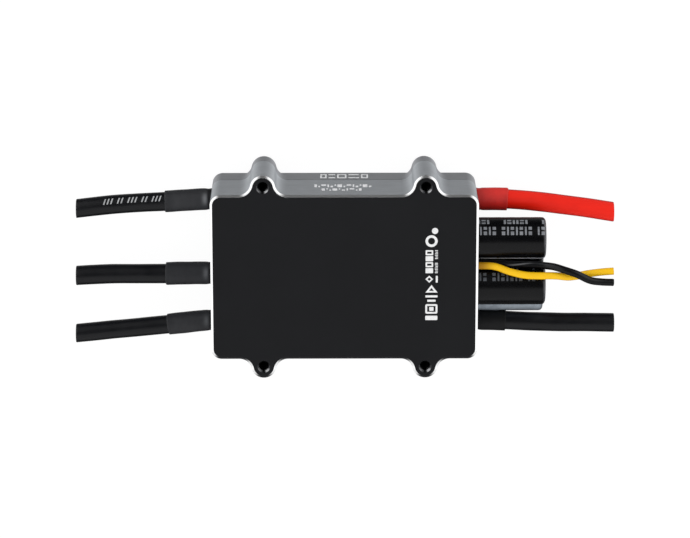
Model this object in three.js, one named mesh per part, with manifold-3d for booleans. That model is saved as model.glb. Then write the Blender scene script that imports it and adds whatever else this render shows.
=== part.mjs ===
// Electronic speed controller for a brushless motor, in a machined two-part
// aluminium case, with its boards, capacitors and leads.
// Millimetres. +X runs along the case towards the battery leads, +Y runs across
// it, +Z is the outward normal of the plain black cover face. The origin lies
// under the centre of the four ear holes, on the plane of the heat-sink fin tips.
import * as THREE from 'three';
import { mergeVertices } from 'three/addons/utils/BufferGeometryUtils.js';
import Module from 'manifold-3d';

const wasm = await Module();
wasm.setup();

// ---------------------------------------------------------------- shared dimensions
const GAP = 0.05; // left between neighbouring pieces
const CASE_LENGTH = 51.0;
const CASE_WIDTH = 32.4;
const CASE_HEIGHT = 17.85;
const CORNER_RADIUS = 2.0;
const PARTING_Z = 5.7; // the two case halves meet here
const WALL_X = 1.8;
const WALL_Y = 1.6;
const PEDESTAL_Z = 4.3; // top of the raised pad inside the heat sink
// mounting ears and their screws
const EAR_X = 15.47;
const EAR_Y = 17.6; // centre of the ear's round tip
const EAR_HOLE_Y = 17.7;
const EAR_RADIUS = 2.4;
const EAR_BLEND = 2.35; // concave radius between ear and wall
const EAR_FOOT_Z = 2.0; // ears stop here, so the screw heads sit level with the fins
const SCREW_CLEARANCE_RADIUS = 1.3;
const SCREW_TIP_Z = 9.9;
const SCREW_PLACES = [[1, 1], [-1, 1], [-1, -1], [1, -1]]
  .map(([sideX, sideY]) => [sideX * EAR_X, sideY * EAR_HOLE_Y]);
// capacitors, lying along X in two rows
const CAP_RADIUS = 3.98;
const LOWER_ROW_Z = 5.5;
const UPPER_ROW_Z = 12.85;
const CAP_CENTRES = [ // y, z
  [6.45, UPPER_ROW_Z],
  [-2.64, UPPER_ROW_Z],
  [-5.95, LOWER_ROW_Z],
  [2.15, LOWER_ROW_Z],
];
const CAP_PIN_OFFSETS = [-1.75, 1.75]; // in y, from the capacitor's axis

// ---------------------------------------------------------------- materials
const FINISH = {
  shell: { color: 0x26272a, roughness: 0.5, metalness: 0.9 },
  heatsink: { color: 0x7d7f83, roughness: 0.42, metalness: 0.9 },
  screw: { color: 0x3b3c3f, roughness: 0.35, metalness: 0.9 },
  board: { color: 0x14351f, roughness: 0.5, metalness: 0.1 },
  thermalPad: { color: 0x8f9aa5, roughness: 0.85, metalness: 0 },
  chip: { color: 0x1a1a1c, roughness: 0.6, metalness: 0 },
  shunt: { color: 0x6c6e70, roughness: 0.4, metalness: 0.6 },
  busbar: { color: 0xc4763a, roughness: 0.35, metalness: 1 },
  header: { color: 0x1b1b1d, roughness: 0.55, metalness: 0 },
  inductor: { color: 0x3c3d40, roughness: 0.6, metalness: 0.2 },
  capacitor: { color: 0x101113, roughness: 0.25, metalness: 0 },
  conductor: { color: 0xc98a55, roughness: 0.4, metalness: 1 },
  blackJacket: { color: 0x17181a, roughness: 0.5, metalness: 0 },
  redJacket: { color: 0xe01f1b, roughness: 0.5, metalness: 0 },
  blackSleeve: { color: 0x242527, roughness: 0.6, metalness: 0 },
  redSleeve: { color: 0xb02a28, roughness: 0.6, metalness: 0 },
  signalWire: { color: 0xf6bd1a, roughness: 0.4, metalness: 0 },
  groundWire: { color: 0x131416, roughness: 0.4, metalness: 0 },
};

// ---------------------------------------------------------------- solid tools
function signedVolume(geometry) {
  const position = geometry.getAttribute('position');
  const index = geometry.getIndex();
  const corners = [new THREE.Vector3(), new THREE.Vector3(), new THREE.Vector3()];
  let volume = 0;
  for (let i = 0; i < index.count; i += 3) {
    corners.forEach((corner, k) => corner.fromBufferAttribute(position, index.getX(i + k)));
    volume += corners[0].dot(corners[1].cross(corners[2]));
  }
  return volume / 6;
}

// shared vertices, with every face turned outwards
function welded(geometry) {
  geometry.deleteAttribute('normal');
  geometry.deleteAttribute('uv');
  const merged = mergeVertices(geometry, 1e-4);
  if (signedVolume(merged) < 0) {
    const flipped = merged.getIndex().array.slice();
    for (let i = 0; i < flipped.length; i += 3) {
      [flipped[i], flipped[i + 2]] = [flipped[i + 2], flipped[i]];
    }
    merged.setIndex(new THREE.BufferAttribute(flipped, 1));
  }
  return merged;
}

function solid(geometry) {
  const mesh = welded(geometry);
  return new wasm.Manifold(new wasm.Mesh({
    numProp: 3,
    vertProperties: new Float32Array(mesh.getAttribute('position').array),
    triVerts: new Uint32Array(mesh.getIndex().array),
  }));
}

function geometryOf(body) {
  const mesh = body.getMesh();
  const geometry = new THREE.BufferGeometry();
  const positions = new Float32Array(mesh.vertProperties);
  geometry.setAttribute('position', new THREE.BufferAttribute(positions, 3));
  geometry.setIndex(new THREE.BufferAttribute(new Uint32Array(mesh.triVerts), 1));
  geometry.computeVertexNormals();
  return geometry;
}

function joined(parts) {
  return parts.reduce((sum, part) => sum.add(part));
}

// the range that reaches equally far to both sides of a centre
function around(centre, reach) {
  return [centre - reach, centre + reach];
}

function box([x0, x1], [y0, y1], [z0, z1]) {
  return new THREE.BoxGeometry(x1 - x0, y1 - y0, z1 - z0)
    .translate((x0 + x1) / 2, (y0 + y1) / 2, (z0 + z1) / 2);
}

function block(xRange, yRange, zRange) {
  return solid(box(xRange, yRange, zRange));
}

// cylinder along X
function rodX(radius, [x0, x1], [y, z], segments) {
  return solid(new THREE.CylinderGeometry(radius, radius, x1 - x0, segments)
    .rotateX(Math.PI / 2)
    .rotateY(Math.PI / 2)
    .translate((x0 + x1) / 2, y, z));
}

// cone along Z, with its radii at z0 and z1
function coneZ(radius0, radius1, [z0, z1], [x, y], segments) {
  return solid(new THREE.CylinderGeometry(radius1, radius0, z1 - z0, segments)
    .rotateX(Math.PI / 2)
    .translate(x, y, (z0 + z1) / 2));
}

function rodZ(radius, zRange, centre, segments) {
  return coneZ(radius, radius, zRange, centre, segments);
}

// points of an arc, angles in degrees
function arc([centreX, centreY], radius, from, to, steps) {
  return Array.from({ length: steps + 1 }, (_, i) => {
    const angle = ((from + ((to - from) * i) / steps) * Math.PI) / 180;
    return new THREE.Vector2(
      centreX + radius * Math.cos(angle),
      centreY + radius * Math.sin(angle),
    );
  });
}

function roundedRectangle([x0, x1], [y0, y1], radius, steps) {
  return new THREE.Shape([
    ...arc([x1 - radius, y1 - radius], radius, 0, 90, steps),
    ...arc([x0 + radius, y1 - radius], radius, 90, 180, steps),
    ...arc([x0 + radius, y0 + radius], radius, 180, 270, steps),
    ...arc([x1 - radius, y0 + radius], radius, 270, 360, steps),
  ]);
}

// extrusion along Z, both ends bevelled inwards by the given size
function plate(shape, [z0, z1], bevel = 0) {
  return solid(new THREE.ExtrudeGeometry(shape, {
    depth: z1 - z0 - 2 * bevel,
    bevelEnabled: bevel > 0,
    bevelThickness: bevel,
    bevelSize: bevel,
    bevelOffset: -bevel,
    bevelSegments: 1,
  }).translate(0, 0, z0 + bevel));
}

// body of revolution about Y from a profile of [radius, height]
function turned(profile, segments) {
  const points = profile.map(([radius, height]) => new THREE.Vector2(radius, height));
  return new THREE.LatheGeometry(points, segments);
}

// ---------------------------------------------------------------- wire tools
const Y_COLUMN = 1;
const Z_COLUMN = 2;

// cubic interpolation of one column of a table of knots by their x
function along(knots, x, column) {
  const last = knots.length - 1;
  const order = knots[0][0] > knots[last][0] ? [...knots].reverse() : knots;
  let i = 0;
  while (i < last - 1 && x > order[i + 1][0]) i += 1;
  const slope = (k) => {
    const before = order[Math.max(0, k - 1)];
    const after = order[Math.min(last, k + 1)];
    return (after[column] - before[column]) / (after[0] - before[0]);
  };
  const width = order[i + 1][0] - order[i][0];
  const t = (x - order[i][0]) / width;
  return (2 * t ** 3 - 3 * t ** 2 + 1) * order[i][column]
    + (t ** 3 - 2 * t ** 2 + t) * width * slope(i)
    + (-2 * t ** 3 + 3 * t ** 2) * order[i + 1][column]
    + (t ** 3 - t ** 2) * width * slope(i + 1);
}

// stretch of a wire between two x; a given level replaces the knots' z
class Run extends THREE.Curve {
  constructor(knots, [from, to], level) {
    super();
    Object.assign(this, { knots, from, to, level });
  }

  getPoint(t, target = new THREE.Vector3()) {
    const x = this.from + (this.to - this.from) * t;
    const z = this.level ?? along(this.knots, x, Z_COLUMN);
    return target.set(x, along(this.knots, x, Y_COLUMN), z);
  }
}

function circlePoints(radius, segments) {
  return Array.from({ length: segments }, (_, i) => {
    const angle = (2 * Math.PI * (i + 0.5)) / segments;
    return new THREE.Vector2(radius * Math.cos(angle), radius * Math.sin(angle));
  });
}

function swept(curve, { radius, bore = 0, steps, segments }) {
  const shape = new THREE.Shape(circlePoints(radius, segments));
  if (bore) shape.holes.push(new THREE.Path(circlePoints(bore, segments).reverse()));
  return welded(new THREE.ExtrudeGeometry(shape, {
    steps, bevelEnabled: false, extrudePath: curve,
  }));
}

// ---------------------------------------------------------------- scene graph
const esc = new THREE.Group();
esc.name = 'electronic_speed_controller';
const caseGroup = new THREE.Group();
const electronics = new THREE.Group();
const wiring = new THREE.Group();
esc.add(caseGroup, electronics, wiring);

function piece(group, name, geometry, finish) {
  const mesh = new THREE.Mesh(geometry, new THREE.MeshStandardMaterial(finish));
  mesh.name = name;
  group.add(mesh);
  return mesh;
}

// ---------------------------------------------------------------- power lead data
const LEAD_Z = 5.0; // centre height
const LEAD_HOLE_RADIUS = 2.45;
const BLACK = { jacket: FINISH.blackJacket, sleeveFinish: FINISH.blackSleeve };
const RED = { jacket: FINISH.redJacket, sleeveFinish: FINISH.redSleeve };
// jacket radius, sleeve radii, x of the sleeve's mouth and of the lead's free
// end, and the plan path as knots of [x, y]
const LEADS = [
  {
    name: 'motor_lead_1', ...BLACK,
    radius: 1.83, sleeveIn: 1.92, sleeveOut: 2.1, mouth: -34.55, end: -51.56,
    knots: [
      [-18, 12.34], [-23, 12.33], [-26.66, 12.23], [-28.98, 12.12], [-31.3, 11.98],
      [-35.16, 11.74], [-39.03, 11.56], [-42.12, 11.38], [-45.21, 11.13], [-48.31, 10.8],
      [-51.56, 10.4],
    ],
  },
  {
    name: 'motor_lead_2', ...BLACK,
    radius: 1.89, sleeveIn: 1.98, sleeveOut: 2.22, mouth: -34.58, end: -51.87,
    knots: [
      [-18, -2.57], [-23, -2.57], [-26.84, -2.57], [-31.51, -2.61], [-35.39, -2.7],
      [-39.28, -2.71], [-42.39, -2.7], [-45.5, -2.73], [-48.61, -2.85], [-51.87, -3.04],
    ],
  },
  {
    name: 'motor_lead_3', ...BLACK,
    radius: 1.81, sleeveIn: 1.89, sleeveOut: 2.07, mouth: -34.35, end: -52.14,
    knots: [
      [-18, -11.9], [-23, -11.97], [-26.96, -12.17], [-29.3, -12.41], [-31.65, -12.67],
      [-35.56, -13.09], [-39.47, -13.48], [-42.6, -13.78], [-45.73, -14.07],
      [-48.86, -14.4], [-52.14, -14.74],
    ],
  },
  {
    name: 'positive_lead', ...RED,
    radius: 1.88, sleeveIn: 1.97, sleeveOut: 2.2, mouth: 31.52, end: 51.98,
    knots: [
      [14, 12.1], [23, 12.14], [26.65, 12.17], [30.71, 12.15], [32.06, 12.1],
      [35.93, 11.8], [41.74, 11.09], [47.56, 10.28], [51.98, 9.56],
    ],
  },
  {
    name: 'negative_lead', ...BLACK,
    radius: 1.82, sleeveIn: 1.9, sleeveOut: 2.08, mouth: 31.17, end: 52.46,
    knots: [
      [14, -12.0], [23, -12.05], [26.91, -12.1], [31.02, -12.22], [32.39, -12.3],
      [36.3, -12.5], [42.16, -12.66], [48.02, -12.7], [52.46, -12.78],
    ],
  },
];

// ---------------------------------------------------------------- case halves
// outer outline of the case with its four ears, each ear running into the
// wall through concave radii; the -Y half is the +Y half turned about Z
function earedOutline() {
  const cornerX = CASE_LENGTH / 2 - CORNER_RADIUS;
  const cornerY = CASE_WIDTH / 2 - CORNER_RADIUS;
  const blendY = CASE_WIDTH / 2 + EAR_BLEND;
  const rise = blendY - EAR_Y;
  const side = Math.sqrt((EAR_RADIUS + EAR_BLEND) ** 2 - rise ** 2);
  const lean = (Math.atan2(rise, side) * 180) / Math.PI;
  const half = [
    ...arc([cornerX, cornerY], CORNER_RADIUS, 0, 90, 3),
    ...[EAR_X, -EAR_X].flatMap((x) => [
      ...arc([x + side, blendY], EAR_BLEND, 270, 180 + lean, 3),
      ...arc([x, EAR_Y], EAR_RADIUS, lean, 180 - lean, 8).slice(1, -1),
      ...arc([x - side, blendY], EAR_BLEND, -lean, -90, 3),
    ]),
    ...arc([-cornerX, cornerY], CORNER_RADIUS, 90, 180, 3),
  ];
  return new THREE.Shape([...half, ...half.map(({ x, y }) => new THREE.Vector2(-x, -y))]);
}

// inside of the case between two heights
function cavity(zRange) {
  const xRange = around(0, CASE_LENGTH / 2 - WALL_X);
  const yRange = around(0, CASE_WIDTH / 2 - WALL_Y);
  return plate(roundedRectangle(xRange, yRange, 1.8, 2), zRange);
}

// openings through the end walls, shared by both case halves
function endOpenings() {
  const bayX = [17.7, 27]; // capacitor bay, out through the +X wall
  const holeRadius = CAP_RADIUS + 0.17;
  const slot = { y: 1.85, bottom: 12.6, top: 15.45, radius: 1.0 }; // for the signal pair
  const wallMiddle = CASE_LENGTH / 2 - WALL_X / 2;
  return joined([
    ...CAP_CENTRES.map((centre) => rodX(holeRadius, bayX, centre, 24)),
    block(bayX, [-4.4, 5.2], [LOWER_ROW_Z, UPPER_ROW_Z]),
    rodX(slot.radius, bayX, [slot.y, slot.top], 16),
    block(bayX, around(slot.y, slot.radius), [slot.bottom, slot.top]),
    ...LEADS.map(({ knots, end }) => {
      const y = along(knots, Math.sign(end) * wallMiddle, Y_COLUMN);
      return rodX(LEAD_HOLE_RADIUS, end < 0 ? [-27, -22] : [22, 27], [y, LEAD_Z], 16);
    }),
  ]);
}

const BEYOND = around(0, 40); // wider than the case in x and y

function addMainShell() {
  const rimChamfer = 0.45;
  const roof = 1.4;
  const holeRadius = 0.84;
  const sinkRadius = 1.18;
  const sinkDepth = sinkRadius - holeRadius; // 45 degree countersink
  const overcut = { below: 0.01, above: 0.1 }; // extends the countersink cone at its ends
  let shell = plate(earedOutline(), [0, CASE_HEIGHT], rimChamfer)
    .subtract(block(BEYOND, BEYOND, [-5, PARTING_Z]))
    .subtract(cavity([0, CASE_HEIGHT - roof]));
  for (const place of SCREW_PLACES) {
    const sinkRange = [CASE_HEIGHT - sinkDepth - overcut.below, CASE_HEIGHT + overcut.above];
    shell = shell.subtract(joined([
      rodZ(SCREW_CLEARANCE_RADIUS, [0, SCREW_TIP_Z + 0.4], place, 16),
      rodZ(holeRadius, [9, CASE_HEIGHT + 1], place, 16),
      coneZ(holeRadius - overcut.below, sinkRadius + overcut.above, sinkRange, place, 16),
    ]));
  }
  piece(caseGroup, 'main_shell', geometryOf(shell.subtract(endOpenings())), FINISH.shell);
}

function addHeatsinkLid() {
  const floorZ = 3.1;
  const footChamfer = 0.3;
  const roughTop = 12; // trimmed back to the parting plane
  const groove = { width: 1.4, pitch: 2.5, count: 12, depth: 2.0 };
  const grooveEndX = 14.8; // grooves stop short of the capacitor bay
  const headRecessRadius = 2.25; // scallop in the fin block beside each screw head

  const footOutline = roundedRectangle(
    around(0, CASE_LENGTH / 2),
    around(0, CASE_WIDTH / 2),
    CORNER_RADIUS,
    3,
  );
  let lid = plate(footOutline, [0, roughTop], footChamfer)
    .add(plate(earedOutline(), [EAR_FOOT_Z, roughTop]))
    .subtract(block(BEYOND, BEYOND, [PARTING_Z - GAP, 20]))
    .subtract(cavity([floorZ, 20]))
    .add(block(around(0, 13), around(0, 11), [floorZ - 0.5, PEDESTAL_Z]));
  for (let i = 0; i < groove.count; i += 1) {
    const y = (i - (groove.count - 1) / 2) * groove.pitch;
    const zRange = [-1, groove.depth];
    lid = lid.subtract(joined([
      block([-30, grooveEndX], around(y, groove.width / 2), zRange),
      rodZ(groove.width / 2, zRange, [grooveEndX, y], 8),
    ]));
  }
  for (const place of SCREW_PLACES) {
    lid = lid
      .subtract(rodZ(SCREW_CLEARANCE_RADIUS, [0, 12], place, 16))
      .subtract(rodZ(headRecessRadius, [-1, EAR_FOOT_Z], place, 16));
  }
  piece(caseGroup, 'heatsink_lid', geometryOf(lid.subtract(endOpenings())), FINISH.heatsink);
}

// M2 socket head screws that clamp the heat sink to the shell through the ears
function addCaseScrews() {
  const head = { radius: 1.9, chamfer: 0.18, face: 0.05, shoulder: EAR_FOOT_Z - GAP };
  const shank = { radius: 1.0, chamfer: 0.3 };
  const socket = { radius: 0.866, depthZ: 1.05 }; // hexagon, across its corners
  const profile = [
    [0, head.face],
    [head.radius - head.chamfer, head.face],
    [head.radius, head.face + head.chamfer],
    [head.radius, head.shoulder],
    [shank.radius, head.shoulder],
    [shank.radius, SCREW_TIP_Z - shank.chamfer],
    [shank.radius - shank.chamfer, SCREW_TIP_Z],
    [0, SCREW_TIP_Z],
  ];
  SCREW_PLACES.forEach(([x, y], i) => {
    const screw = solid(turned(profile, 16).rotateX(Math.PI / 2))
      .subtract(rodZ(socket.radius, [-0.5, socket.depthZ], [0, 0], 6));
    piece(caseGroup, `case_screw_${i + 1}`, geometryOf(screw), FINISH.screw)
      .position.set(x, y, 0);
  });
}

// ---------------------------------------------------------------- boards
const POWER_BOARD_Z = 6.0;
const POWER_TOP_Z = POWER_BOARD_Z + 1.6;
const CONTROL_BOARD_Z = 10.2;
const CONTROL_TOP_Z = CONTROL_BOARD_Z + 1.0;
const CAP_BOARD_X = 16.6;

// heights of a part of the given thickness mounted on a board
function mounted(boardTop, thickness) {
  return [boardTop + GAP, boardTop + GAP + thickness];
}

function addFlatBoard(name, xRange, yRange, zRange) {
  const board = plate(roundedRectangle(xRange, yRange, 1.0, 3), zRange);
  piece(electronics, name, geometryOf(board), FINISH.board);
}

// mosfets under the power board, with the pad between them and the pedestal
function addPowerStage() {
  const mosfetTop = POWER_BOARD_Z - GAP;
  const mosfetBottom = mosfetTop - 1;
  const padZ = [PEDESTAL_Z + GAP, mosfetBottom - GAP];
  const pad = box(around(0, 12), around(0, 9.5), padZ);
  piece(electronics, 'thermal_pad', pad, FINISH.thermalPad);
  const places = [-8, 0, 8].flatMap((x) => [[x, -4.8], [x, 4.8]]);
  places.forEach(([x, y], i) => {
    const mosfet = box(around(x, 2.5), around(y, 3), [mosfetBottom, mosfetTop]);
    piece(electronics, `mosfet_${i + 1}`, mosfet, FINISH.chip);
  });
  const shunt = box([3, 9.4], [-5.6, -2.4], mounted(POWER_TOP_Z, 0.8));
  piece(electronics, 'current_shunt', shunt, FINISH.shunt);
}

// flat bar on the power board, turned up at its +X end
function addBusbar(name, yRange) {
  const endX = 16.3;
  const foot = block([2, endX], yRange, mounted(POWER_TOP_Z, 0.9));
  const post = block([15.0, endX], yRange, [POWER_TOP_Z + 0.4, POWER_TOP_Z + 4.0]);
  piece(electronics, name, geometryOf(foot.add(post)), FINISH.busbar);
}

function addBoardHeader() {
  const zRange = [POWER_TOP_Z + GAP, CONTROL_BOARD_Z - GAP];
  piece(electronics, 'board_header', box([-18.5, -16], around(0, 8), zRange), FINISH.header);
}

function addControlParts() {
  const controller = box([-5.5, 1.5], [-3.5, 3.5], mounted(CONTROL_TOP_Z, 1));
  piece(electronics, 'microcontroller', controller, FINISH.chip);
  const driver = box([4.2, 9.2], [-8.6, -3.6], mounted(CONTROL_TOP_Z, 0.9));
  piece(electronics, 'gate_driver', driver, FINISH.chip);
  const coilOutline = roundedRectangle([-15.2, -10], [3.6, 8.8], 0.8, 2);
  const coil = plate(coilOutline, mounted(CONTROL_TOP_Z, 3), 0.3);
  piece(electronics, 'regulator_inductor', geometryOf(coil), FINISH.inductor);
}

// upright board that ties the four capacitors together, notched for the signal wires
function addCapacitorBoard() {
  const outline = [ // y, z
    [-10.6, 3.3], [6.7, 3.3], [6.7, 8.3], [10.6, 8.3], [10.6, 15.4], [3.3, 15.4],
    [3.3, 12.4], [0.5, 12.4], [0.5, 15.4], [-7.0, 15.4], [-7.0, 11.0], [-10.6, 11.0],
  ].map(([y, z]) => new THREE.Vector2(y, z));
  const upright = new THREE.ExtrudeGeometry(new THREE.Shape(outline), {
    depth: 1.0, bevelEnabled: false,
  }).rotateX(Math.PI / 2).rotateZ(Math.PI / 2).translate(CAP_BOARD_X, 0, 0);
  let board = solid(upright);
  for (const [y, z] of CAP_CENTRES) {
    for (const offset of CAP_PIN_OFFSETS) {
      const xRange = [CAP_BOARD_X - 1, CAP_BOARD_X + 2];
      board = board.subtract(rodX(0.6, xRange, [y + offset, z], 8));
    }
  }
  piece(electronics, 'capacitor_board', geometryOf(board), FINISH.board);
}

// radial electrolytic capacitors lying along X, crimp and pins inside the case
function addCapacitors() {
  const innerX = 18.5;
  const length = 38.5 - innerX;
  const pinRadius = 0.3;
  const profile = [ // radius, distance from the inner end
    [0, 0], [CAP_RADIUS - 0.3, 0], [CAP_RADIUS, 0.35],
    [CAP_RADIUS, 1.5], [CAP_RADIUS - 0.45, 2.05], [CAP_RADIUS, 2.6],
    [CAP_RADIUS, length - 0.6], [CAP_RADIUS - 0.18, length - 0.18],
    [CAP_RADIUS - 0.6, length], [3.1, length], [2.95, length - 0.15], [0, length - 0.15],
  ];
  CAP_CENTRES.forEach(([y, z], i) => {
    const can = turned(profile, 24).rotateZ(-Math.PI / 2).translate(innerX, y, z);
    const body = joined([
      solid(can),
      ...CAP_PIN_OFFSETS.map((offset) => (
        rodX(pinRadius, [CAP_BOARD_X - 0.4, innerX + 1], [y + offset, z], 8)
      )),
    ]);
    piece(electronics, `capacitor_${i + 1}`, geometryOf(body), FINISH.capacitor);
  });
}

// ---------------------------------------------------------------- power leads
const FLEX_GAP = 1.4; // from a sleeve's mouth to the flex axis, room for the outer run to tilt
const CORE_INSET = 0.2; // of the core behind the jacket's face at the flex gap

function addPowerLead({ name, knots, radius, sleeveIn, sleeveOut, mouth, end, ...finishes }) {
  const dir = Math.sign(end); // outwards along X
  const solderEnd = dir < 0 ? -18.2 : 14.2;
  const hinge = mouth + dir * FLEX_GAP;
  const add = (part, xRange, section, finish) => {
    piece(wiring, `${name}_${part}`, swept(new Run(knots, xRange, LEAD_Z), section), finish);
  };
  const jacket = { radius, bore: 1.12, segments: 16 };
  const core = { radius: 0.95, segments: 10 };
  const sleeve = { radius: sleeveOut, bore: sleeveIn, steps: 3, segments: 16 };
  const innerJacketX = [dir * 23.2, mouth - dir * GAP];
  const innerCoreX = [solderEnd, mouth - dir * CORE_INSET];
  add('sleeve', [dir * 23.9, mouth], sleeve, finishes.sleeveFinish);
  add('inner_jacket', innerJacketX, { ...jacket, steps: 3 }, finishes.jacket);
  add('inner_core', innerCoreX, { ...core, steps: 4 }, FINISH.conductor);
  // outer run, flat at the flex axis
  add('outer_jacket', [hinge, end], { ...jacket, steps: 6 }, finishes.jacket);
  add('outer_core', [hinge + dir * CORE_INSET, end], { ...core, steps: 6 }, FINISH.conductor);
}

// ---------------------------------------------------------------- signal pair
// two thin wires that twist about each other over the capacitors: x ranges of
// the inner and outer runs, and the path as knots of [x, y, z]
const SIGNALS = [
  {
    name: 'signal_wire', finish: FINISH.signalWire, inner: [10.5, 26.3], outer: [28.1, 51.34],
    knots: [
      [10.5, 3.4, 12.1], [13, 3.0, 12.35], [16, 2.3, 14.6], [18.2, 1.8, 15.5],
      [21, 1.74, 15.62], [26.29, 1.72, 15.62], [28.76, 1.6, 15.8], [31.59, 0.78, 16.55],
      [34.45, 0.17, 16.8], [37.31, 0.03, 16.84], [39.24, -0.03, 16.55],
      [40.8, -0.23, 16.05], [42.75, -0.57, 15.55], [44.5, -0.46, 15.25],
      [46.02, -0.13, 15.25], [48.01, 0.21, 15.35], [50.01, 0.46, 15.45],
      [51.48, 0.55, 15.45],
    ],
  },
  {
    name: 'ground_wire', finish: FINISH.groundWire, inner: [10.5, 26.3], outer: [27.4, 51.3],
    knots: [
      [10.5, 0.9, 12.1], [13, 1.2, 12.15], [15.6, 1.6, 12.75], [17.6, 1.9, 13.95],
      [18.6, 1.905, 14.17], [26, 1.905, 14.15], [29, 1.92, 14.2], [31.9, 1.92, 14.4],
      [33.4, 1.88, 14.75], [35.59, 1.86, 14.85], [37.02, 1.75, 14.95],
      [38.34, 1.69, 15.25], [39.27, 1.66, 15.65], [40.2, 1.57, 16.05],
      [42.25, 1.08, 16.85], [44.34, 0.41, 17.15], [46.86, -0.84, 16.95],
      [48.99, -1.25, 16.65], [51.44, -1.41, 16.45],
    ],
  },
];

function addSignalWire({ name, finish, inner, outer, knots }) {
  const section = { radius: 0.7, segments: 10 };
  const innerRun = swept(new Run(knots, inner), { ...section, steps: 9 });
  const outerRun = swept(new Run(knots, outer), { ...section, steps: 20 });
  piece(wiring, `${name}_inner`, innerRun, finish);
  piece(wiring, `${name}_outer`, outerRun, finish);
}

// ---------------------------------------------------------------- assembly
addMainShell();
addHeatsinkLid();
addCaseScrews();
addFlatBoard('power_board', [-22.6, 15.8], around(0, 13.6), [POWER_BOARD_Z, POWER_TOP_Z]);
addPowerStage();
addBusbar('busbar_positive', [9.4, 12.8]);
addBusbar('busbar_negative', [-12.8, -9.4]);
addBoardHeader();
addFlatBoard('control_board', [-20, 13.6], around(0, 11.5), [CONTROL_BOARD_Z, CONTROL_TOP_Z]);
addControlParts();
addCapacitorBoard();
addCapacitors();
LEADS.forEach(addPowerLead);
SIGNALS.forEach(addSignalWire);

export default esc;
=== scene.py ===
"""Electronic speed controller: a machined case with capacitors and leads, on a CAD frame.

Metres, +Z up; sizes below are in millimetres. The case stands on Z = 0, centred on X and Y
with its long side along X. The motor leads leave at -X; the capacitors, the power leads and
the signal pair leave at +X.
"""

import math
from collections import namedtuple

import bmesh
import bpy
from mathutils import Matrix, Vector


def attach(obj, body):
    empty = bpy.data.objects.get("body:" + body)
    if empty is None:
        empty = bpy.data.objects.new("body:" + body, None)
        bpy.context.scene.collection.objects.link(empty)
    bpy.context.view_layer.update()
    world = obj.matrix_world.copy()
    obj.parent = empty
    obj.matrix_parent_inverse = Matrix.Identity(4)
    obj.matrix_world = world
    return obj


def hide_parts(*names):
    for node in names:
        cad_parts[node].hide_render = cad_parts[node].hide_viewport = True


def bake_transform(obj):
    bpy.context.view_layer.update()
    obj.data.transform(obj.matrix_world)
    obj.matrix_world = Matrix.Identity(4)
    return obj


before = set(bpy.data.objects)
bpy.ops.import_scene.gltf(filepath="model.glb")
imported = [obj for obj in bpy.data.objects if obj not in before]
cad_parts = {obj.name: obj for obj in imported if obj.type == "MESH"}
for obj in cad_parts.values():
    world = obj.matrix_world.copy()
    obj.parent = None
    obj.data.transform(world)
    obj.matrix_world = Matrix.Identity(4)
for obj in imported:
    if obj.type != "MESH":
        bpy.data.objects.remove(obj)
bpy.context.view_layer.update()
scene = bpy.context.scene
MM = 0.001
ROOT = "controller"

# ------------------------------------------------------------------ design sizes, millimetres
# case
LENGTH, WIDTH, HEIGHT = 51.0, 32.4, 17.85
CORNER_R = 2.0
CHAMFER, CHAMFER_DROP = 0.45, 0.30
SHELL_BASE, SINK_TOP = 5.7, 5.65
SMALL_BEVEL = 0.09
CAVITY_X, CAVITY_Y, CAVITY_R = 23.7, 14.6, 1.8
CAVITY_ROOF = 16.45
TRENCH_FLOOR, TRENCH_INSET = 3.1, 0.4
PEDESTAL_X, PEDESTAL_Y, PEDESTAL_TOP = 13, 11, 4.3
# the four screw ears
EAR_X, EAR_Y, EAR_HOLE_Y = 15.47, 17.6, 17.7
EAR_R, EAR_BLEND_R = 2.4, 2.35
EAR_FOOT = 2.0
EARS = [(EAR_X, 1), (-EAR_X, 1), (-EAR_X, -1), (EAR_X, -1)]  # x, side of Y
BORE_R, SEAT_R, CLEAR_R = 0.84, 1.18, 1.3
THREAD_DEPTH, THREAD_STEP = 0.14, 0.2
# heat-sink grooves, open at -X
GROOVE_W, GROOVE_PITCH, GROOVE_COUNT = 1.4, 2.5, 12
GROOVE_DEPTH, GROOVE_END = 2.0, 14.8
# capacitors
CAP_R, CAP_X0, CAP_X1 = 3.98, 18.5, 38.5
CAP_SHOULDER_R = 0.75
CAPS = [(6.45, 12.85), (-2.64, 12.85), (-5.95, 5.5), (2.15, 5.5)]  # y, z of each axis
# openings through the end walls
OPEN_X0, OPEN_X1 = 17.7, 27
LEAD_HOLE_R, LEAD_HOLE_X0 = 2.45, 22
SLOT_Y, SLOT_R, SLOT_TOP, SLOT_BASE = 1.85, 1.0, 15.45, 12.6
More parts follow.
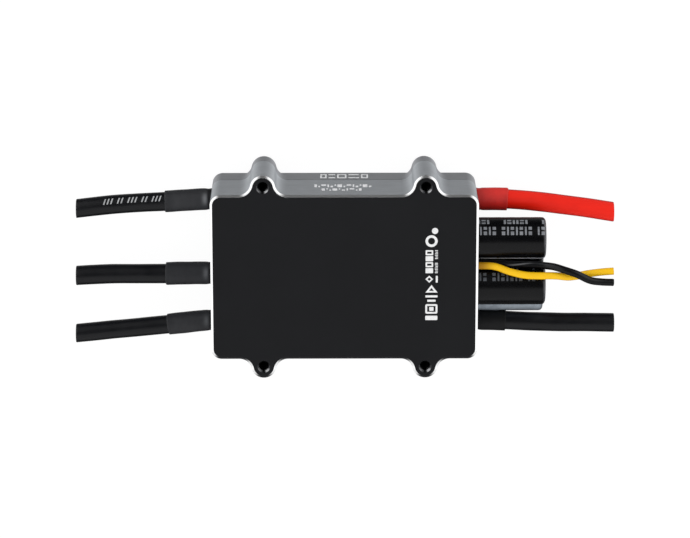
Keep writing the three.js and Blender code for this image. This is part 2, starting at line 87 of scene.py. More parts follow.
# leads: all lie level at LEAD_Z; knots are (x, y) from the case outwards.
# mouth is the x of the sleeve's open end; gleam is (painted highlight at the wall, painted sheen
# along the top)
LEAD_Z = 5.0
LEAD_TABLE = [
    dict(
        name="motor_lead_1", radius=1.83, sleeve_in=1.92, sleeve_out=2.1, mouth=-34.55,
        gleam=(0.85, 0.055),
        knots=[
            (-18, 12.34), (-23, 12.33), (-26.66, 12.23), (-28.98, 12.12), (-31.3, 11.98),
            (-35.16, 11.74), (-39.03, 11.56), (-42.12, 11.38), (-45.21, 11.13),
            (-48.31, 10.8), (-51.56, 10.4)]),
    dict(
        name="motor_lead_2", radius=1.89, sleeve_in=1.98, sleeve_out=2.22, mouth=-34.58,
        gleam=(0.50, 0.0),
        knots=[
            (-18, -2.57), (-23, -2.57), (-26.84, -2.57), (-31.51, -2.61), (-35.39, -2.7),
            (-39.28, -2.71), (-42.39, -2.7), (-45.5, -2.73), (-48.61, -2.85),
            (-51.87, -3.04)]),
    dict(
        name="motor_lead_3", radius=1.81, sleeve_in=1.89, sleeve_out=2.07, mouth=-34.35,
        gleam=(0.34, 0.012),
        knots=[
            (-18, -11.9), (-23, -11.97), (-26.96, -12.17), (-29.3, -12.41), (-31.65, -12.67),
            (-35.56, -13.09), (-39.47, -13.48), (-42.6, -13.78), (-45.73, -14.07),
            (-48.86, -14.4), (-52.14, -14.74)]),
    dict(
        name="positive_lead", radius=1.88, sleeve_in=1.97, sleeve_out=2.2, mouth=31.52,
        red=True,
        knots=[
            (14, 12.1), (23, 12.14), (26.65, 12.17), (30.71, 12.15), (32.06, 12.1),
            (35.93, 11.8), (41.74, 11.09), (47.56, 10.28), (51.98, 9.56)]),
    dict(
        name="negative_lead", radius=1.82, sleeve_in=1.9, sleeve_out=2.08, mouth=31.45,
        knots=[
            (14, -12.0), (23, -12.05), (26.91, -12.1), (31.02, -12.22), (32.39, -12.3),
            (36.3, -12.5), (42.16, -12.66), (48.02, -12.7), (52.46, -12.78)]),
]
# signal pair: knots are (x, y, z) from inside the case outwards
WIRE_R = 0.7
WIRE_TABLE = [
    dict(
        name="signal_wire", end=51.48, yellow=True,
        knots=[
            (10.5, 3.4, 12.1), (13, 3.0, 12.35), (15.6, 2.3, 14.85), (17.6, 1.86, 15.56),
            (21, 1.74, 15.62), (26.29, 1.72, 15.62), (28.76, 1.6, 15.8),
            (31.59, 0.78, 16.55), (34.45, 0.17, 16.8), (37.31, 0.03, 16.84),
            (39.24, -0.03, 16.55), (40.8, -0.23, 16.05), (42.75, -0.57, 15.55),
            (44.5, -0.46, 15.25), (46.02, -0.13, 15.25), (48.01, 0.21, 15.35),
            (50.01, 0.46, 15.45), (51.48, 0.55, 15.45)]),
    dict(
        name="ground_wire", end=51.42, yellow=False,
        knots=[
            (10.5, 0.9, 12.1), (13, 1.15, 12.15), (15.4, 1.5, 12.9), (16.8, 1.75, 13.62),
            (18.6, 1.86, 14.12), (20, 1.87, 14.2), (26, 1.86, 14.2), (28, 1.85, 14.22),
            (29.6, 1.80, 14.42), (31.9, 1.74, 14.72), (33.4, 1.73, 14.9),
            (35.59, 1.72, 15.02), (37.02, 1.69, 15.12), (38.34, 1.64, 15.38),
            (39.27, 1.62, 15.72), (40.2, 1.55, 16.08), (42.25, 1.08, 16.85),
            (44.34, 0.41, 17.15), (46.86, -0.84, 16.95), (48.99, -1.25, 16.65),
            (51.44, -1.41, 16.45)]),
]


# ------------------------------------------------------------------ shader building blocks
class Shader:
    """A material or world node tree, with short calls for the nodes used here."""

    def __init__(self, name, world=False):
        self.owner = (bpy.data.worlds if world else bpy.data.materials).new(name)
        self.owner.use_nodes = True
        self.tree = self.owner.node_tree
        self.tree.nodes.clear()
        self.out = self.node("ShaderNodeOutputWorld" if world else "ShaderNodeOutputMaterial")

    def node(self, kind, **settings):
        node = self.tree.nodes.new(kind)
        for key, value in settings.items():
            setattr(node, key, value)
        return node

    def put(self, socket, value):
        """Links value to the socket, or stores it there."""
        if isinstance(value, bpy.types.NodeSocket):
            self.tree.links.new(value, socket)
        elif socket.type == "RGBA" and len(value) == 3:
            socket.default_value = (*value, 1.0)
        else:
            socket.default_value = value

    def surface(self, shader):
        self.put(self.out.inputs["Surface"], shader)

    def math(self, operation, *values):
        node = self.node("ShaderNodeMath", operation=operation)
        for i in range(3):
            self.put(node.inputs[i], values[i] if i < len(values) else 0.0)
        return node.outputs[0]

    def add(self, first, second):
        return self.math("ADD", first, second)

    def mul(self, first, second):
        return self.math("MULTIPLY", first, second)

    def top(self, first, second):
        return self.math("MAXIMUM", first, second)

    def absolute(self, value):
        return self.math("ABSOLUTE", value)

    def flip(self, value):
        return self.math("SUBTRACT", 1.0, value)

    def weigh(self, *pairs):
        """Sum of (value, weight) pairs."""
        total = self.mul(*pairs[0])
        for pair in pairs[1:]:
            total = self.add(total, self.mul(*pair))
        return total

    def remap(self, value, over, to=(0.0, 1.0), smooth=True):
        """Carries the input range `over` to the output range `to`, clamped."""
        node = self.node(
            "ShaderNodeMapRange", interpolation_type="SMOOTHSTEP" if smooth else "LINEAR", clamp=True)
        self.put(node.inputs["Value"], value)
        for key, number in zip(("From Min", "From Max", "To Min", "To Max"), (*over, *to)):
            self.put(node.inputs[key], number)
        return node.outputs["Result"]

    def vary(self, noise, low, high):
        """Spreads the middle of a noise linearly from low to high."""
        return self.remap(noise, over=(0.3, 0.7), to=(low, high), smooth=False)

    def coords(self, stretch=(1, 1, 1)):
        """Object coordinates in millimetres, stretched."""
        mapping = self.node("ShaderNodeMapping")
        self.put(mapping.inputs["Vector"], self.node("ShaderNodeTexCoord").outputs["Object"])
        mapping.inputs["Scale"].default_value = [1000.0 * part for part in stretch]
        return mapping.outputs["Vector"]

    def noise(self, scale, detail=2.0, rough=0.5, distortion=0.0, stretch=(1, 1, 1), at=None):
        node = self.node("ShaderNodeTexNoise")
        self.put(node.inputs["Vector"], at or self.coords(stretch))
        self.put(node.inputs["Scale"], scale)
        self.put(node.inputs["Detail"], detail)
        self.put(node.inputs["Roughness"], rough)
        self.put(node.inputs["Distortion"], distortion)
        return node.outputs["Fac"]

    def ramp(self, factor, *colours, places=(0.35, 0.65), mode="LINEAR"):
        node = self.node("ShaderNodeValToRGB")
        node.color_ramp.interpolation = mode
        elements = node.color_ramp.elements
        while len(elements) < len(colours):
            elements.new(0.5)
        for element, place, colour in zip(elements, places, colours):
            element.position = place
            element.color = (*colour, 1.0)
        self.put(node.inputs["Fac"], factor)
        return node.outputs["Color"]

    def blend(self, factor, first, second):
        node = self.node("ShaderNodeMix", data_type="RGBA")
        self.put(node.inputs["Factor"], factor)
        self.put(node.inputs[6], first)
        self.put(node.inputs[7], second)
        return node.outputs[2]

    def split(self, vector):
        node = self.node("ShaderNodeSeparateXYZ")
        self.put(node.inputs[0], vector)
        return node.outputs[0], node.outputs[1], node.outputs[2]

    def place_x(self):
        """Object X in millimetres."""
        return self.split(self.coords())[0]

    def normal(self, kind="Normal"):
        return self.split(self.node("ShaderNodeNewGeometry").outputs[kind])

    def facing(self):
        """0 where the surface faces the viewer, 1 where it turns away."""
        node = self.node("ShaderNodeLayerWeight")
        node.inputs["Blend"].default_value = 0.5
        return node.outputs["Facing"]

    def bump(self, height, strength, depth, normal=None):
        """depth in millimetres."""
        node = self.node("ShaderNodeBump")
        self.put(node.inputs["Height"], height)
        node.inputs["Strength"].default_value = strength
        node.inputs["Distance"].default_value = depth * MM
        if normal is not None:
            self.put(node.inputs["Normal"], normal)
        return node.outputs["Normal"]

    def principled(self, colour, roughness, normal, metallic=0.0, specular=0.5, emission=None):
        """Finishes the material and returns it."""
        node = self.node("ShaderNodeBsdfPrincipled")
        self.put(node.inputs["Base Color"], colour)
        self.put(node.inputs["Roughness"], roughness)
        self.put(node.inputs["Metallic"], metallic)
        self.put(node.inputs["Specular IOR Level"], specular)
        self.put(node.inputs["Normal"], normal)
        if emission is not None:
            self.put(node.inputs["Emission Strength"], emission)
        self.surface(node.outputs[0])
        return self.owner

    def mix_shaders(self, factor, first, second):
        node = self.node("ShaderNodeMixShader")
        self.put(node.inputs[0], factor)
        self.put(node.inputs[1], first)
        self.put(node.inputs[2], second)
        return node.outputs[0]


# ------------------------------------------------------------------ materials
def black_anodised():
    mat = Shader("black_anodised")
    where = mat.coords()
    broad = mat.noise(scale=0.09, detail=3, rough=0.55, at=where)
    grain = mat.noise(scale=9.0, rough=0.6, at=where)
    colour = mat.ramp(
        mat.weigh((broad, 0.55), (grain, 0.45)),
        (0.0041, 0.0045, 0.0062), (0.0062, 0.0067, 0.0090), places=(0.3, 0.7))
    return mat.principled(
        colour, mat.vary(grain, low=0.44, high=0.54),
        normal=mat.bump(grain, strength=0.22, depth=0.012), specular=0.33)


def bright_edge():
    """The cut round the top edge; its tone follows how far it faces -Y or +Y, with painted shade and
    a painted glow towards -Y.
    """
    mat = Shader("bright_cut_edge")
    line = mat.noise(scale=3.0, detail=3, rough=0.6, stretch=(0.8, 0.8, 6.0))
    colour = mat.ramp(line, (0.86, 0.865, 0.875), (0.96, 0.962, 0.965), places=(0.3, 0.7))
    y = mat.normal("True Normal")[1]
    # painted shade, standing in for a dark reflection: near black where it faces -Y
    dark = mat.remap(y, over=(-0.31, -0.52))
    colour = mat.blend(dark, colour, (0.055, 0.055, 0.060))
    # painted highlight: a glow round the corners, between the bright and the dark
    glow = mat.mul(mat.mul(mat.remap(y, over=(-0.03, -0.20)), mat.flip(dark)), 0.42)
    # rougher where it faces +Y
    rough = mat.top(
        mat.vary(line, low=0.16, high=0.26), mat.remap(y, over=(0.40, 0.53), to=(0.16, 0.29)))
    return mat.principled(
        colour, rough, metallic=1.0, normal=mat.bump(line, strength=0.10, depth=0.01),
        emission=glow)


def milled(name, low, high):
    """Machined aluminium: cutter lines run level round the walls and along X on the faces."""
    mat = Shader(name)
    face = mat.remap(mat.absolute(mat.normal()[2]), over=(0.55, 0.8))
    wall_lines = mat.noise(
        scale=1.0, detail=5, rough=0.66, distortion=0.25, stretch=(0.22, 0.22, 1.5))
    fine_lines = mat.noise(scale=1.0, detail=3, rough=0.6, stretch=(0.03, 0.03, 6.0))
    face_lines = mat.noise(scale=1.0, detail=5, rough=0.62, stretch=(0.03, 3.6, 0.5))
    lines = mat.node("ShaderNodeMix", data_type="FLOAT")
    mat.put(lines.inputs[0], face)
    mat.put(lines.inputs[2], mat.weigh((wall_lines, 0.7), (fine_lines, 0.3)))
    mat.put(lines.inputs[3], face_lines)
    line = lines.outputs[0]
    broad = mat.noise(scale=0.16, detail=3)
    grain = mat.noise(scale=14.0, detail=1)
    tone = mat.weigh((line, 0.55), (broad, 0.3), (grain, 0.15))
    normal = mat.bump(line, strength=0.20, depth=0.010)
    return mat.principled(
        mat.ramp(tone, low, high, places=(0.32, 0.68)),
        mat.remap(line, over=(0.25, 0.75), to=(0.33, 0.43), smooth=False),
        metallic=1.0, normal=mat.bump(grain, strength=0.10, depth=0.008, normal=normal))


def metal(name, low, high, rough):
    mat = Shader(name)
    grain = mat.noise(scale=6.0, detail=4, rough=0.6)
    broad = mat.noise(scale=0.7)
    return mat.principled(
        mat.ramp(mat.weigh((grain, 0.5), (broad, 0.5)), low, high),
        mat.vary(grain, low=rough - 0.05, high=rough + 0.08),
        metallic=1.0, normal=mat.bump(grain, strength=0.15, depth=0.01))


def screw_seat():
    """Dark cuts round the screw bores, with a painted highlight over two spans of the turn about Z.
    """
    mat = Shader("countersink_cut")
    grain = mat.noise(scale=6.0, detail=4, rough=0.6)
    x, y, _ = mat.normal("True Normal")
    turn = mat.math("ARCTAN2", y, x)
    colour = mat.ramp(grain, (0.034, 0.035, 0.038), (0.060, 0.061, 0.065))
    # (middle of the span, half width) in radians, painted highlight tone there
    for middle, reach, pale in (
            (0.62, 0.52, (0.120, 0.120, 0.124)), (2.30, 0.62, (0.350, 0.350, 0.358))):
        off = mat.absolute(mat.add(turn, -middle))
        colour = mat.blend(mat.remap(off, over=(reach, 0.14)), colour, pale)
    return mat.principled(
        colour, mat.vary(grain, low=0.20, high=0.32), metallic=1.0,
        normal=mat.bump(grain, strength=0.15, depth=0.01))


def shaded_near_case(mat, colour, shade):
    """shade is (x where it is full, x where it ends, tone), the same at -X and +X."""
    if shade is None:
        return colour
    start, end, tone = shade
    return mat.blend(mat.remap(mat.absolute(mat.place_x()), over=(start, end)), tone, colour)


def rim_shaded(mat, colour, rim_shade):
    """Painted shade: a round jacket goes deeper in tone where it turns away."""
    if rim_shade is None:
        return colour
    return mat.blend(mat.remap(mat.facing(), over=(0.42, 0.86)), colour, rim_shade)


def calmed(mat, colour, quiet):
    """A vivid jacket shows at only `quiet` of its strength in reflections."""
    if quiet is None:
        return colour
    path = mat.node("ShaderNodeLightPath")
    dark = mat.blend(1.0 - quiet, colour, (0.0, 0.0, 0.0))
    return mat.blend(path.outputs["Is Glossy Ray"], colour, dark)


def gleaming(mat, colour, tone):
    """Painted highlight: goes to tone by the mesh's gleam attribute."""
    attribute = mat.node("ShaderNodeAttribute", attribute_name="gleam")
    return mat.blend(attribute.outputs["Fac"], colour, tone)


def jacket(name, low, high, rough, specular, streak=0.5, bump=0.12,
           shade=None, quiet=None, gleam=False, rim_shade=None):
    """Extruded jacket: faint lengthwise draw lines, a soft mottle and fine grain."""
    mat = Shader(name)
    draw = mat.noise(scale=1.0, detail=4, rough=0.6, stretch=(0.05, 1.6, 1.6))
    mottle = mat.noise(scale=0.35, detail=3, rough=0.55)
    grain = mat.noise(scale=11.0, rough=0.6)
    tone = mat.weigh((draw, streak), (mottle, 0.85 - streak), (grain, 0.15))
    colour = mat.ramp(tone, low, high, places=(0.34, 0.66))
    colour = shaded_near_case(mat, colour, shade)
    if gleam:
        colour = gleaming(mat, colour, (0.165, 0.170, 0.180))
    colour = calmed(mat, rim_shaded(mat, colour, rim_shade), quiet)
    uneven = mat.weigh((mottle, 0.6), (grain, 0.4))
    normal = mat.bump(draw, strength=bump, depth=0.02)
    return mat.principled(
        colour, mat.vary(uneven, low=rough - 0.05, high=rough + 0.06),
        normal=mat.bump(grain, strength=bump, depth=0.008, normal=normal), specular=specular)


def shrink(name, low, high, rough, specular=0.4, shade=None, quiet=None, painted_gleam_and_shadow=False):
    """Heat-shrink tube: shallow ripples across it, with a fine matt grain."""
    mat = Shader(name)
    ripple = mat.noise(scale=1.0, detail=3, distortion=0.6, stretch=(0.9, 0.35, 0.35))
    mottle = mat.noise(scale=0.6, detail=3, rough=0.55)
    grain = mat.noise(scale=8.0, rough=0.6)
    tone = mat.add(mat.mul(ripple, 0.45), mat.weigh((mottle, 0.35), (grain, 0.2)))
    colour = mat.ramp(tone, low, high, places=(0.36, 0.64))
    colour = shaded_near_case(mat, colour, shade)
    if painted_gleam_and_shadow:
        # painted highlight by gleam, and painted shadow, near black, in a narrow band at the -X wall
        colour = gleaming(mat, colour, (0.200, 0.204, 0.214))
        outer = mat.remap(mat.place_x(), over=(-26.42, -26.10))
        inner = mat.remap(mat.place_x(), over=(-25.4, -25.6))
        colour = mat.blend(mat.mul(outer, inner), colour, (0.005, 0.005, 0.007))
    colour = calmed(mat, colour, quiet)
    uneven = mat.weigh((mottle, 0.5), (grain, 0.5))
    normal = mat.bump(ripple, strength=0.35, depth=0.05)
    return mat.principled(
        colour, mat.vary(uneven, low=rough - 0.06, high=rough + 0.06),
        normal=mat.bump(grain, strength=0.15, depth=0.01, normal=normal), specular=specular)


def printed(name, low, high, rough=0.5, edge=None):
    """Ink, slightly starved in places; edge is a painted shade, its tone where it turns away."""
    mat = Shader(name)
    cover = mat.weigh((mat.noise(scale=5.0, detail=3, rough=0.65), 0.6), (mat.noise(scale=0.9), 0.4))
    colour = mat.ramp(cover, low, high, places=(0.34, 0.56))
    if edge is not None:
        colour = mat.blend(mat.remap(mat.facing(), over=(0.30, 0.98)), colour, edge)
    return mat.principled(
        colour, mat.vary(cover, low=rough - 0.05, high=rough + 0.1),
        normal=mat.bump(cover, strength=0.1, depth=0.008), specular=0.35)


def capacitor_vinyl():
    mat = Shader("capacitor_vinyl")
    mottle = mat.noise(scale=0.5, detail=3, rough=0.55, stretch=(0.5, 1, 1))
    grain = mat.noise(scale=9.0, rough=0.6)
    colour = mat.ramp(
        mat.weigh((mottle, 0.6), (grain, 0.4)), (0.0010, 0.0011, 0.0018), (0.0020, 0.0021, 0.0030))
    # painted highlight: paler where it rolls over the can's +X end
    end = mat.remap(mat.normal()[0], over=(0.30, 0.66))
    colour = mat.blend(end, colour, (0.050, 0.051, 0.057))
    ripple = mat.noise(scale=1.0, detail=3, stretch=(0.18, 0.8, 0.8))
    normal = mat.bump(ripple, strength=0.25, depth=0.03)
    return mat.principled(
        colour, mat.vary(mottle, low=0.22, high=0.30),
        normal=mat.bump(grain, strength=0.08, depth=0.006, normal=normal), specular=0.44)


def circuit_board():
    """Green board with a pattern of tracks and round pads."""
    mat = Shader("circuit_board")
    where = mat.coords()
    tracks = mat.node("ShaderNodeTexBrick", offset=0.37, squash=1.0)
    mat.put(tracks.inputs["Vector"], where)
    for key, value in (
            ("Scale", 0.55), ("Mortar Size", 0.035), ("Color1", (0, 0, 0)),
            ("Color2", (0.15, 0.15, 0.15)), ("Mortar", (1, 1, 1))):
        mat.put(tracks.inputs[key], value)
    cells = mat.node("ShaderNodeTexVoronoi")
    mat.put(cells.inputs["Vector"], where)
    mat.put(cells.inputs["Scale"], 0.8)
    pads = mat.remap(cells.outputs["Distance"], over=(0.16, 0.12))
    weave = mat.noise(scale=2.0, stretch=(3, 3, 3))
    base = mat.ramp(weave, (0.006, 0.045, 0.018), (0.010, 0.062, 0.026))
    colour = mat.blend(tracks.outputs["Color"], base, (0.018, 0.11, 0.045))
    colour = mat.blend(pads, colour, (0.55, 0.50, 0.38))
    return mat.principled(
        colour, mat.vary(weave, low=0.30, high=0.42), metallic=mat.mul(pads, 0.8),
        normal=mat.bump(tracks.outputs["Color"], strength=0.3, depth=0.03))


def moulded(name, low, high, rough):
    """Moulded or pressed block with a fine grain."""
    mat = Shader(name)
    grain = mat.noise(scale=8.0, detail=3, rough=0.65)
    broad = mat.noise(scale=0.5)
    return mat.principled(
        mat.ramp(mat.weigh((grain, 0.5), (broad, 0.5)), low, high),
        mat.vary(grain, low=rough - 0.05, high=rough + 0.08),
        normal=mat.bump(grain, strength=0.3, depth=0.02))


def stranded_copper():
    mat = Shader("stranded_copper")
    lay = mat.noise(scale=1.4, detail=3, rough=0.6, distortion=0.4, stretch=(0.5, 3.5, 3.5))
    tarnish = mat.noise(scale=0.9, detail=3, rough=0.6, stretch=(0.35, 1, 1))
    colour = mat.ramp(
        mat.weigh((lay, 0.5), (tarnish, 0.5)),
        (0.55, 0.25, 0.13), (0.86, 0.48, 0.30), places=(0.32, 0.68))
    return mat.principled(
        colour, mat.vary(tarnish, low=0.26, high=0.42), metallic=1.0,
        normal=mat.bump(lay, strength=0.4, depth=0.04))


MATS = {
    "cover": black_anodised(),
    "edge": bright_edge(),
    "wall": milled(
        "machined_shell_wall", low=(0.412, 0.441, 0.472), high=(0.626, 0.662, 0.702)),
    "sink": milled("machined_heat_sink", low=(0.300, 0.312, 0.336), high=(0.430, 0.444, 0.476)),
    "screw": metal("screw_steel", low=(0.055, 0.055, 0.058), high=(0.12, 0.12, 0.125), rough=0.36),
    "seat": screw_seat(),
    "vinyl": capacitor_vinyl(),
    "stripe": printed(
        "capacitor_stripe", low=(0.195, 0.222, 0.255), high=(0.290, 0.330, 0.372),
        edge=(0.040, 0.048, 0.058)),
    "lit_stripe": printed(
        "capacitor_stripe_lit", low=(0.300, 0.318, 0.345), high=(0.420, 0.440, 0.470), rough=0.35),
    "cap_ink": printed(
        "capacitor_ink", low=(0.125, 0.132, 0.146), high=(0.235, 0.246, 0.266)),
    # painted shade: a darker copy of the capacitor ink, for the second capacitor's print
    "shaded_ink": printed(
        "capacitor_shaded_ink", low=(0.036, 0.040, 0.048), high=(0.078, 0.086, 0.098)),
    "can": metal("capacitor_can", low=(0.52, 0.53, 0.54), high=(0.68, 0.69, 0.70), rough=0.30),
    "bung": moulded(
        "capacitor_bung", low=(0.012, 0.012, 0.013), high=(0.022, 0.022, 0.024), rough=0.7),
    "black_jacket": jacket(
        "black_silicone", low=(0.0010, 0.0014, 0.0032), high=(0.0028, 0.0033, 0.0058),
        rough=0.36, specular=0.57, rim_shade=(0.0014, 0.0018, 0.0034)),
    "red_jacket": jacket(
        "red_silicone", low=(0.83, 0.0110, 0.0024), high=(0.91, 0.0150, 0.0036),
        rough=0.46, specular=0.20, streak=0.4, quiet=0.3, rim_shade=(0.36, 0.012, 0.010)),
    "black_sleeve": shrink(
        "black_heat_shrink", low=(0.0180, 0.0188, 0.0222), high=(0.0250, 0.0260, 0.0300),
        rough=0.55, painted_gleam_and_shadow=True),
    # painted shade: a darker copy of the black heat-shrink, for the sleeve at +X
    "shaded_black_sleeve": shrink(
        "black_heat_shrink_shaded", low=(0.0040, 0.0042, 0.0050), high=(0.0070, 0.0073, 0.0084),
        rough=0.55, specular=0.34),
    "red_sleeve": shrink(
        "red_heat_shrink", low=(0.62, 0.0175, 0.0130), high=(0.74, 0.0235, 0.0175),
        rough=0.50, specular=0.34, shade=(25.0, 29.5, (0.47, 0.0165, 0.0130)), quiet=0.3),
    "yellow_wire": jacket(
        "yellow_pvc", low=(0.89, 0.500, 0.0040), high=(0.96, 0.565, 0.0070),
        rough=0.36, specular=0.22, streak=0.35, bump=0.06,
        shade=(26.1, 29.4, (0.42, 0.200, 0.004)), quiet=0.25, rim_shade=(0.50, 0.250, 0.006)),
    "black_wire": jacket(
        "black_pvc", low=(0.0016, 0.0019, 0.0032), high=(0.0038, 0.0042, 0.0058),
        rough=0.32, specular=0.38, bump=0.06, gleam=True),
    "copper": stranded_copper(),
    "cover_ink": printed("cover_ink", low=(0.66, 0.665, 0.67), high=(0.86, 0.862, 0.865)),
    "etch": printed("laser_etch", low=(0.62, 0.63, 0.64), high=(0.86, 0.865, 0.87)),
    "jacket_ink": printed("jacket_ink", low=(0.26, 0.27, 0.28), high=(0.46, 0.47, 0.48)),
    "board": circuit_board(),
    "chip": moulded(
        "chip_plastic", low=(0.010, 0.010, 0.011), high=(0.020, 0.020, 0.022), rough=0.55),
    "header": moulded(
        "header_plastic", low=(0.012, 0.012, 0.013), high=(0.024, 0.024, 0.026), rough=0.48),
    "shunt": metal("shunt_alloy", low=(0.20, 0.20, 0.20), high=(0.32, 0.32, 0.32), rough=0.38),
    "ferrite": moulded(
        "ferrite_block", low=(0.035, 0.035, 0.038), high=(0.060, 0.060, 0.064), rough=0.62),
    "pad": moulded(
        "thermal_silicone", low=(0.24, 0.28, 0.33), high=(0.34, 0.38, 0.44), rough=0.82),
    "busbar": metal("copper_busbar", low=(0.62, 0.29, 0.15), high=(0.82, 0.44, 0.27), rough=0.32),
    "tin": metal("solder_tin", low=(0.52, 0.53, 0.54), high=(0.70, 0.71, 0.72), rough=0.28),
}


# ------------------------------------------------------------------ mesh building blocks
def mesh_object(name, verts, faces, mats, index=None, sharp=None):
    """verts in millimetres; sharp is the edge angle in degrees, or None for flat shading."""
    mesh = bpy.data.meshes.new(name)
    mesh.from_pydata([(x * MM, y * MM, z * MM) for x, y, z in verts], [], faces)
    for mat in mats:
        mesh.materials.append(mat)
    if index is not None:
        mesh.polygons.foreach_set("material_index", index)
    bm = bmesh.new()
    bm.from_mesh(mesh)
    bmesh.ops.recalc_face_normals(bm, faces=bm.faces)
    bm.to_mesh(mesh)
    bm.free()
    mesh.polygons.foreach_set("use_smooth", [sharp is not None] * len(mesh.polygons))
    mesh.update()
    if sharp is not None:
        mesh.set_sharp_from_angle(angle=math.radians(sharp))
    obj = bpy.data.objects.new(name, mesh)
    scene.collection.objects.link(obj)
    return obj


class Parts:
    """Vertices, faces and face materials gathered piece by piece into one mesh."""

    def __init__(self):
        self.verts, self.faces, self.index = [], [], []

    def loft(self, rings, mat=0, closed=False):
        """Rings of equal count joined by quads, capped unless the last meets the first."""
        n = len(rings[0])
        base = len(self.verts)
        for ring in rings:
            self.verts.extend(ring)
        for i in range(len(rings) if closed else len(rings) - 1):
            here, there = base + i * n, base + ((i + 1) % len(rings)) * n
            for j in range(n):
                k = (j + 1) % n
                self.faces.append((here + j, here + k, there + k, there + j))
        if not closed:
            last = base + (len(rings) - 1) * n
            self.faces.append(tuple(base + j for j in reversed(range(n))))
            self.faces.append(tuple(last + j for j in range(n)))
        self.index += [mat] * (len(self.faces) - len(self.index))
        return self

    def object(self, name, mats, sharp=32.0):
        return mesh_object(name, self.verts, self.faces, mats, self.index, sharp)


def ride(obj, slot, *replaced):
    """Fixes a piece to the case and hides the CAD pieces that it stands for."""
    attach(obj, ROOT)
    if replaced:
        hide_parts(*replaced)


def clamp(value):
    return max(0.0, min(1.0, value))


def arc(cx, cy, r, start, end, n):
    """n + 1 points from start to end, in degrees."""
    angles = [math.radians(start + (end - start) * i / n) for i in range(n + 1)]
    return [(cx + r * math.cos(a), cy + r * math.sin(a)) for a in angles]


def rounded(x0, x1, y0, y1, r, n=6):
    """Rectangle with round corners."""
    return (arc(x1 - r, y1 - r, r, 0, 90, n) + arc(x0 + r, y1 - r, r, 90, 180, n)
            + arc(x0 + r, y0 + r, r, 180, 270, n) + arc(x1 - r, y0 + r, r, 270, 360, n))


def circle(cx, cy, r, n=48):
    angles = [2 * math.pi * i / n for i in range(n)]
    return [(cx + r * math.cos(a), cy + r * math.sin(a)) for a in angles]


def outline(inset=0.0):
    """Case outline with its four ears, moved inwards by inset; the count never changes."""
    hx, hy = LENGTH / 2 - CORNER_R, WIDTH / 2 - CORNER_R
    # centres of the hollow blends, measured from the ear's own centre
    rise = WIDTH / 2 + EAR_BLEND_R - EAR_Y
    side = math.sqrt((EAR_R + EAR_BLEND_R) ** 2 - rise**2)
    lean = math.degrees(math.atan2(rise, side))
    blend_r = EAR_BLEND_R + inset
    half = arc(hx, hy, CORNER_R - inset, 0, 90, 14)
    for cx in (EAR_X, -EAR_X):
        half += arc(cx + side, EAR_Y + rise, blend_r, 270, 180 + lean, 14)
        half += arc(cx, EAR_Y, EAR_R - inset, lean, 180 - lean, 36)[1:-1]
        half += arc(cx - side, EAR_Y + rise, blend_r, -lean, -90, 14)
    half += arc(-hx, hy, CORNER_R - inset, 90, 180, 14)
    return half + [(-x, -y) for x, y in half]


def level(points, z):
    """(x, y) points laid level at z."""
    return [(x, y, z) for x, y in points]


def across(points, x):
    """(y, z) points stood across the X axis at x."""
    return [(x, y, z) for y, z in points]


def solid(rings, name="tool"):
    """Flat-shaded closed body, to cut or to cut with."""
    return Parts().loft(rings).object(name, [], sharp=None)


def rod_x(r, x0, x1, y, z, n=64):
    ring = circle(y, z, r, n)
    return solid([across(ring, x0), across(ring, x1)])


def block(x0, x1, y0, y1, z0, z1):
    corners = [(x0, y0), (x1, y0), (x1, y1), (x0, y1)]
    return solid([level(corners, z0), level(corners, z1)])


def turned(profile, cx, cy):
    """Solid of revolution about a vertical axis; profile is (radius, z) going up."""
    return solid([level(circle(cx, cy, r), z) for r, z in profile])


def thread(start, stop, root, crest):
    """(radius, z) zigzag of a screw thread."""
    rows = []
    z, out = start, False
    while z < stop:
        rows.append((crest if out else root, z))
        z += THREAD_STEP
        out = not out
    return rows


def cut(obj, tools):
    """Cuts every tool out of the body for good, then removes the tools."""
    for tool in tools:
        modifier = obj.modifiers.new("cut", "BOOLEAN")
        modifier.operation = "DIFFERENCE"
        modifier.solver = "EXACT"
        modifier.object = tool
    bpy.context.view_layer.update()
    depsgraph = bpy.context.evaluated_depsgraph_get()
    mesh = bpy.data.meshes.new_from_object(obj.evaluated_get(depsgraph))
    obj.modifiers.clear()
    old = obj.data
    obj.data = mesh
    bpy.data.meshes.remove(old)
    for tool in tools:
        data = tool.data
        bpy.data.objects.remove(tool)
        bpy.data.meshes.remove(data)


def dress(obj, mats, choose):
    """Gives each face of a cut body its material by choose(centre in mm, normal)."""
    mesh = obj.data
    mesh.materials.clear()
    for mat in mats:
        mesh.materials.append(mat)
    for face in mesh.polygons:
        face.material_index = choose(face.center / MM, face.normal)
        face.use_smooth = True
    mesh.set_sharp_from_angle(angle=math.radians(28.0))
    weighted = obj.modifiers.new("flat_faces_lead", "WEIGHTED_NORMAL")
    weighted.keep_sharp = True
    weighted.mode = "FACE_AREA"
    weighted.weight = 60


# ------------------------------------------------------------------ runs along X
Frame = namedtuple("Frame", "place ahead side up")


def along(knots, x, column):
    """Cubic interpolation of one column of a table of knots by their x."""
    order = knots if knots[0][0] < knots[-1][0] else list(reversed(knots))
    last = len(order) - 1
    i = 0
    while i < last - 1 and x > order[i + 1][0]:
        i += 1

    def slope(k):
        before, after = order[max(0, k - 1)], order[min(last, k + 1)]
        return (after[column] - before[column]) / (after[0] - before[0])

    x0, x1 = order[i][0], order[i + 1][0]
    h = x1 - x0
    t = (x - x0) / h
    start, end = order[i][column], order[i + 1][column]
    return ((2 * t**3 - 3 * t**2 + 1) * start + (t**3 - 2 * t**2 + t) * h * slope(i)
            + (-2 * t**3 + 3 * t**2) * end + (t**3 - t**2) * h * slope(i + 1))


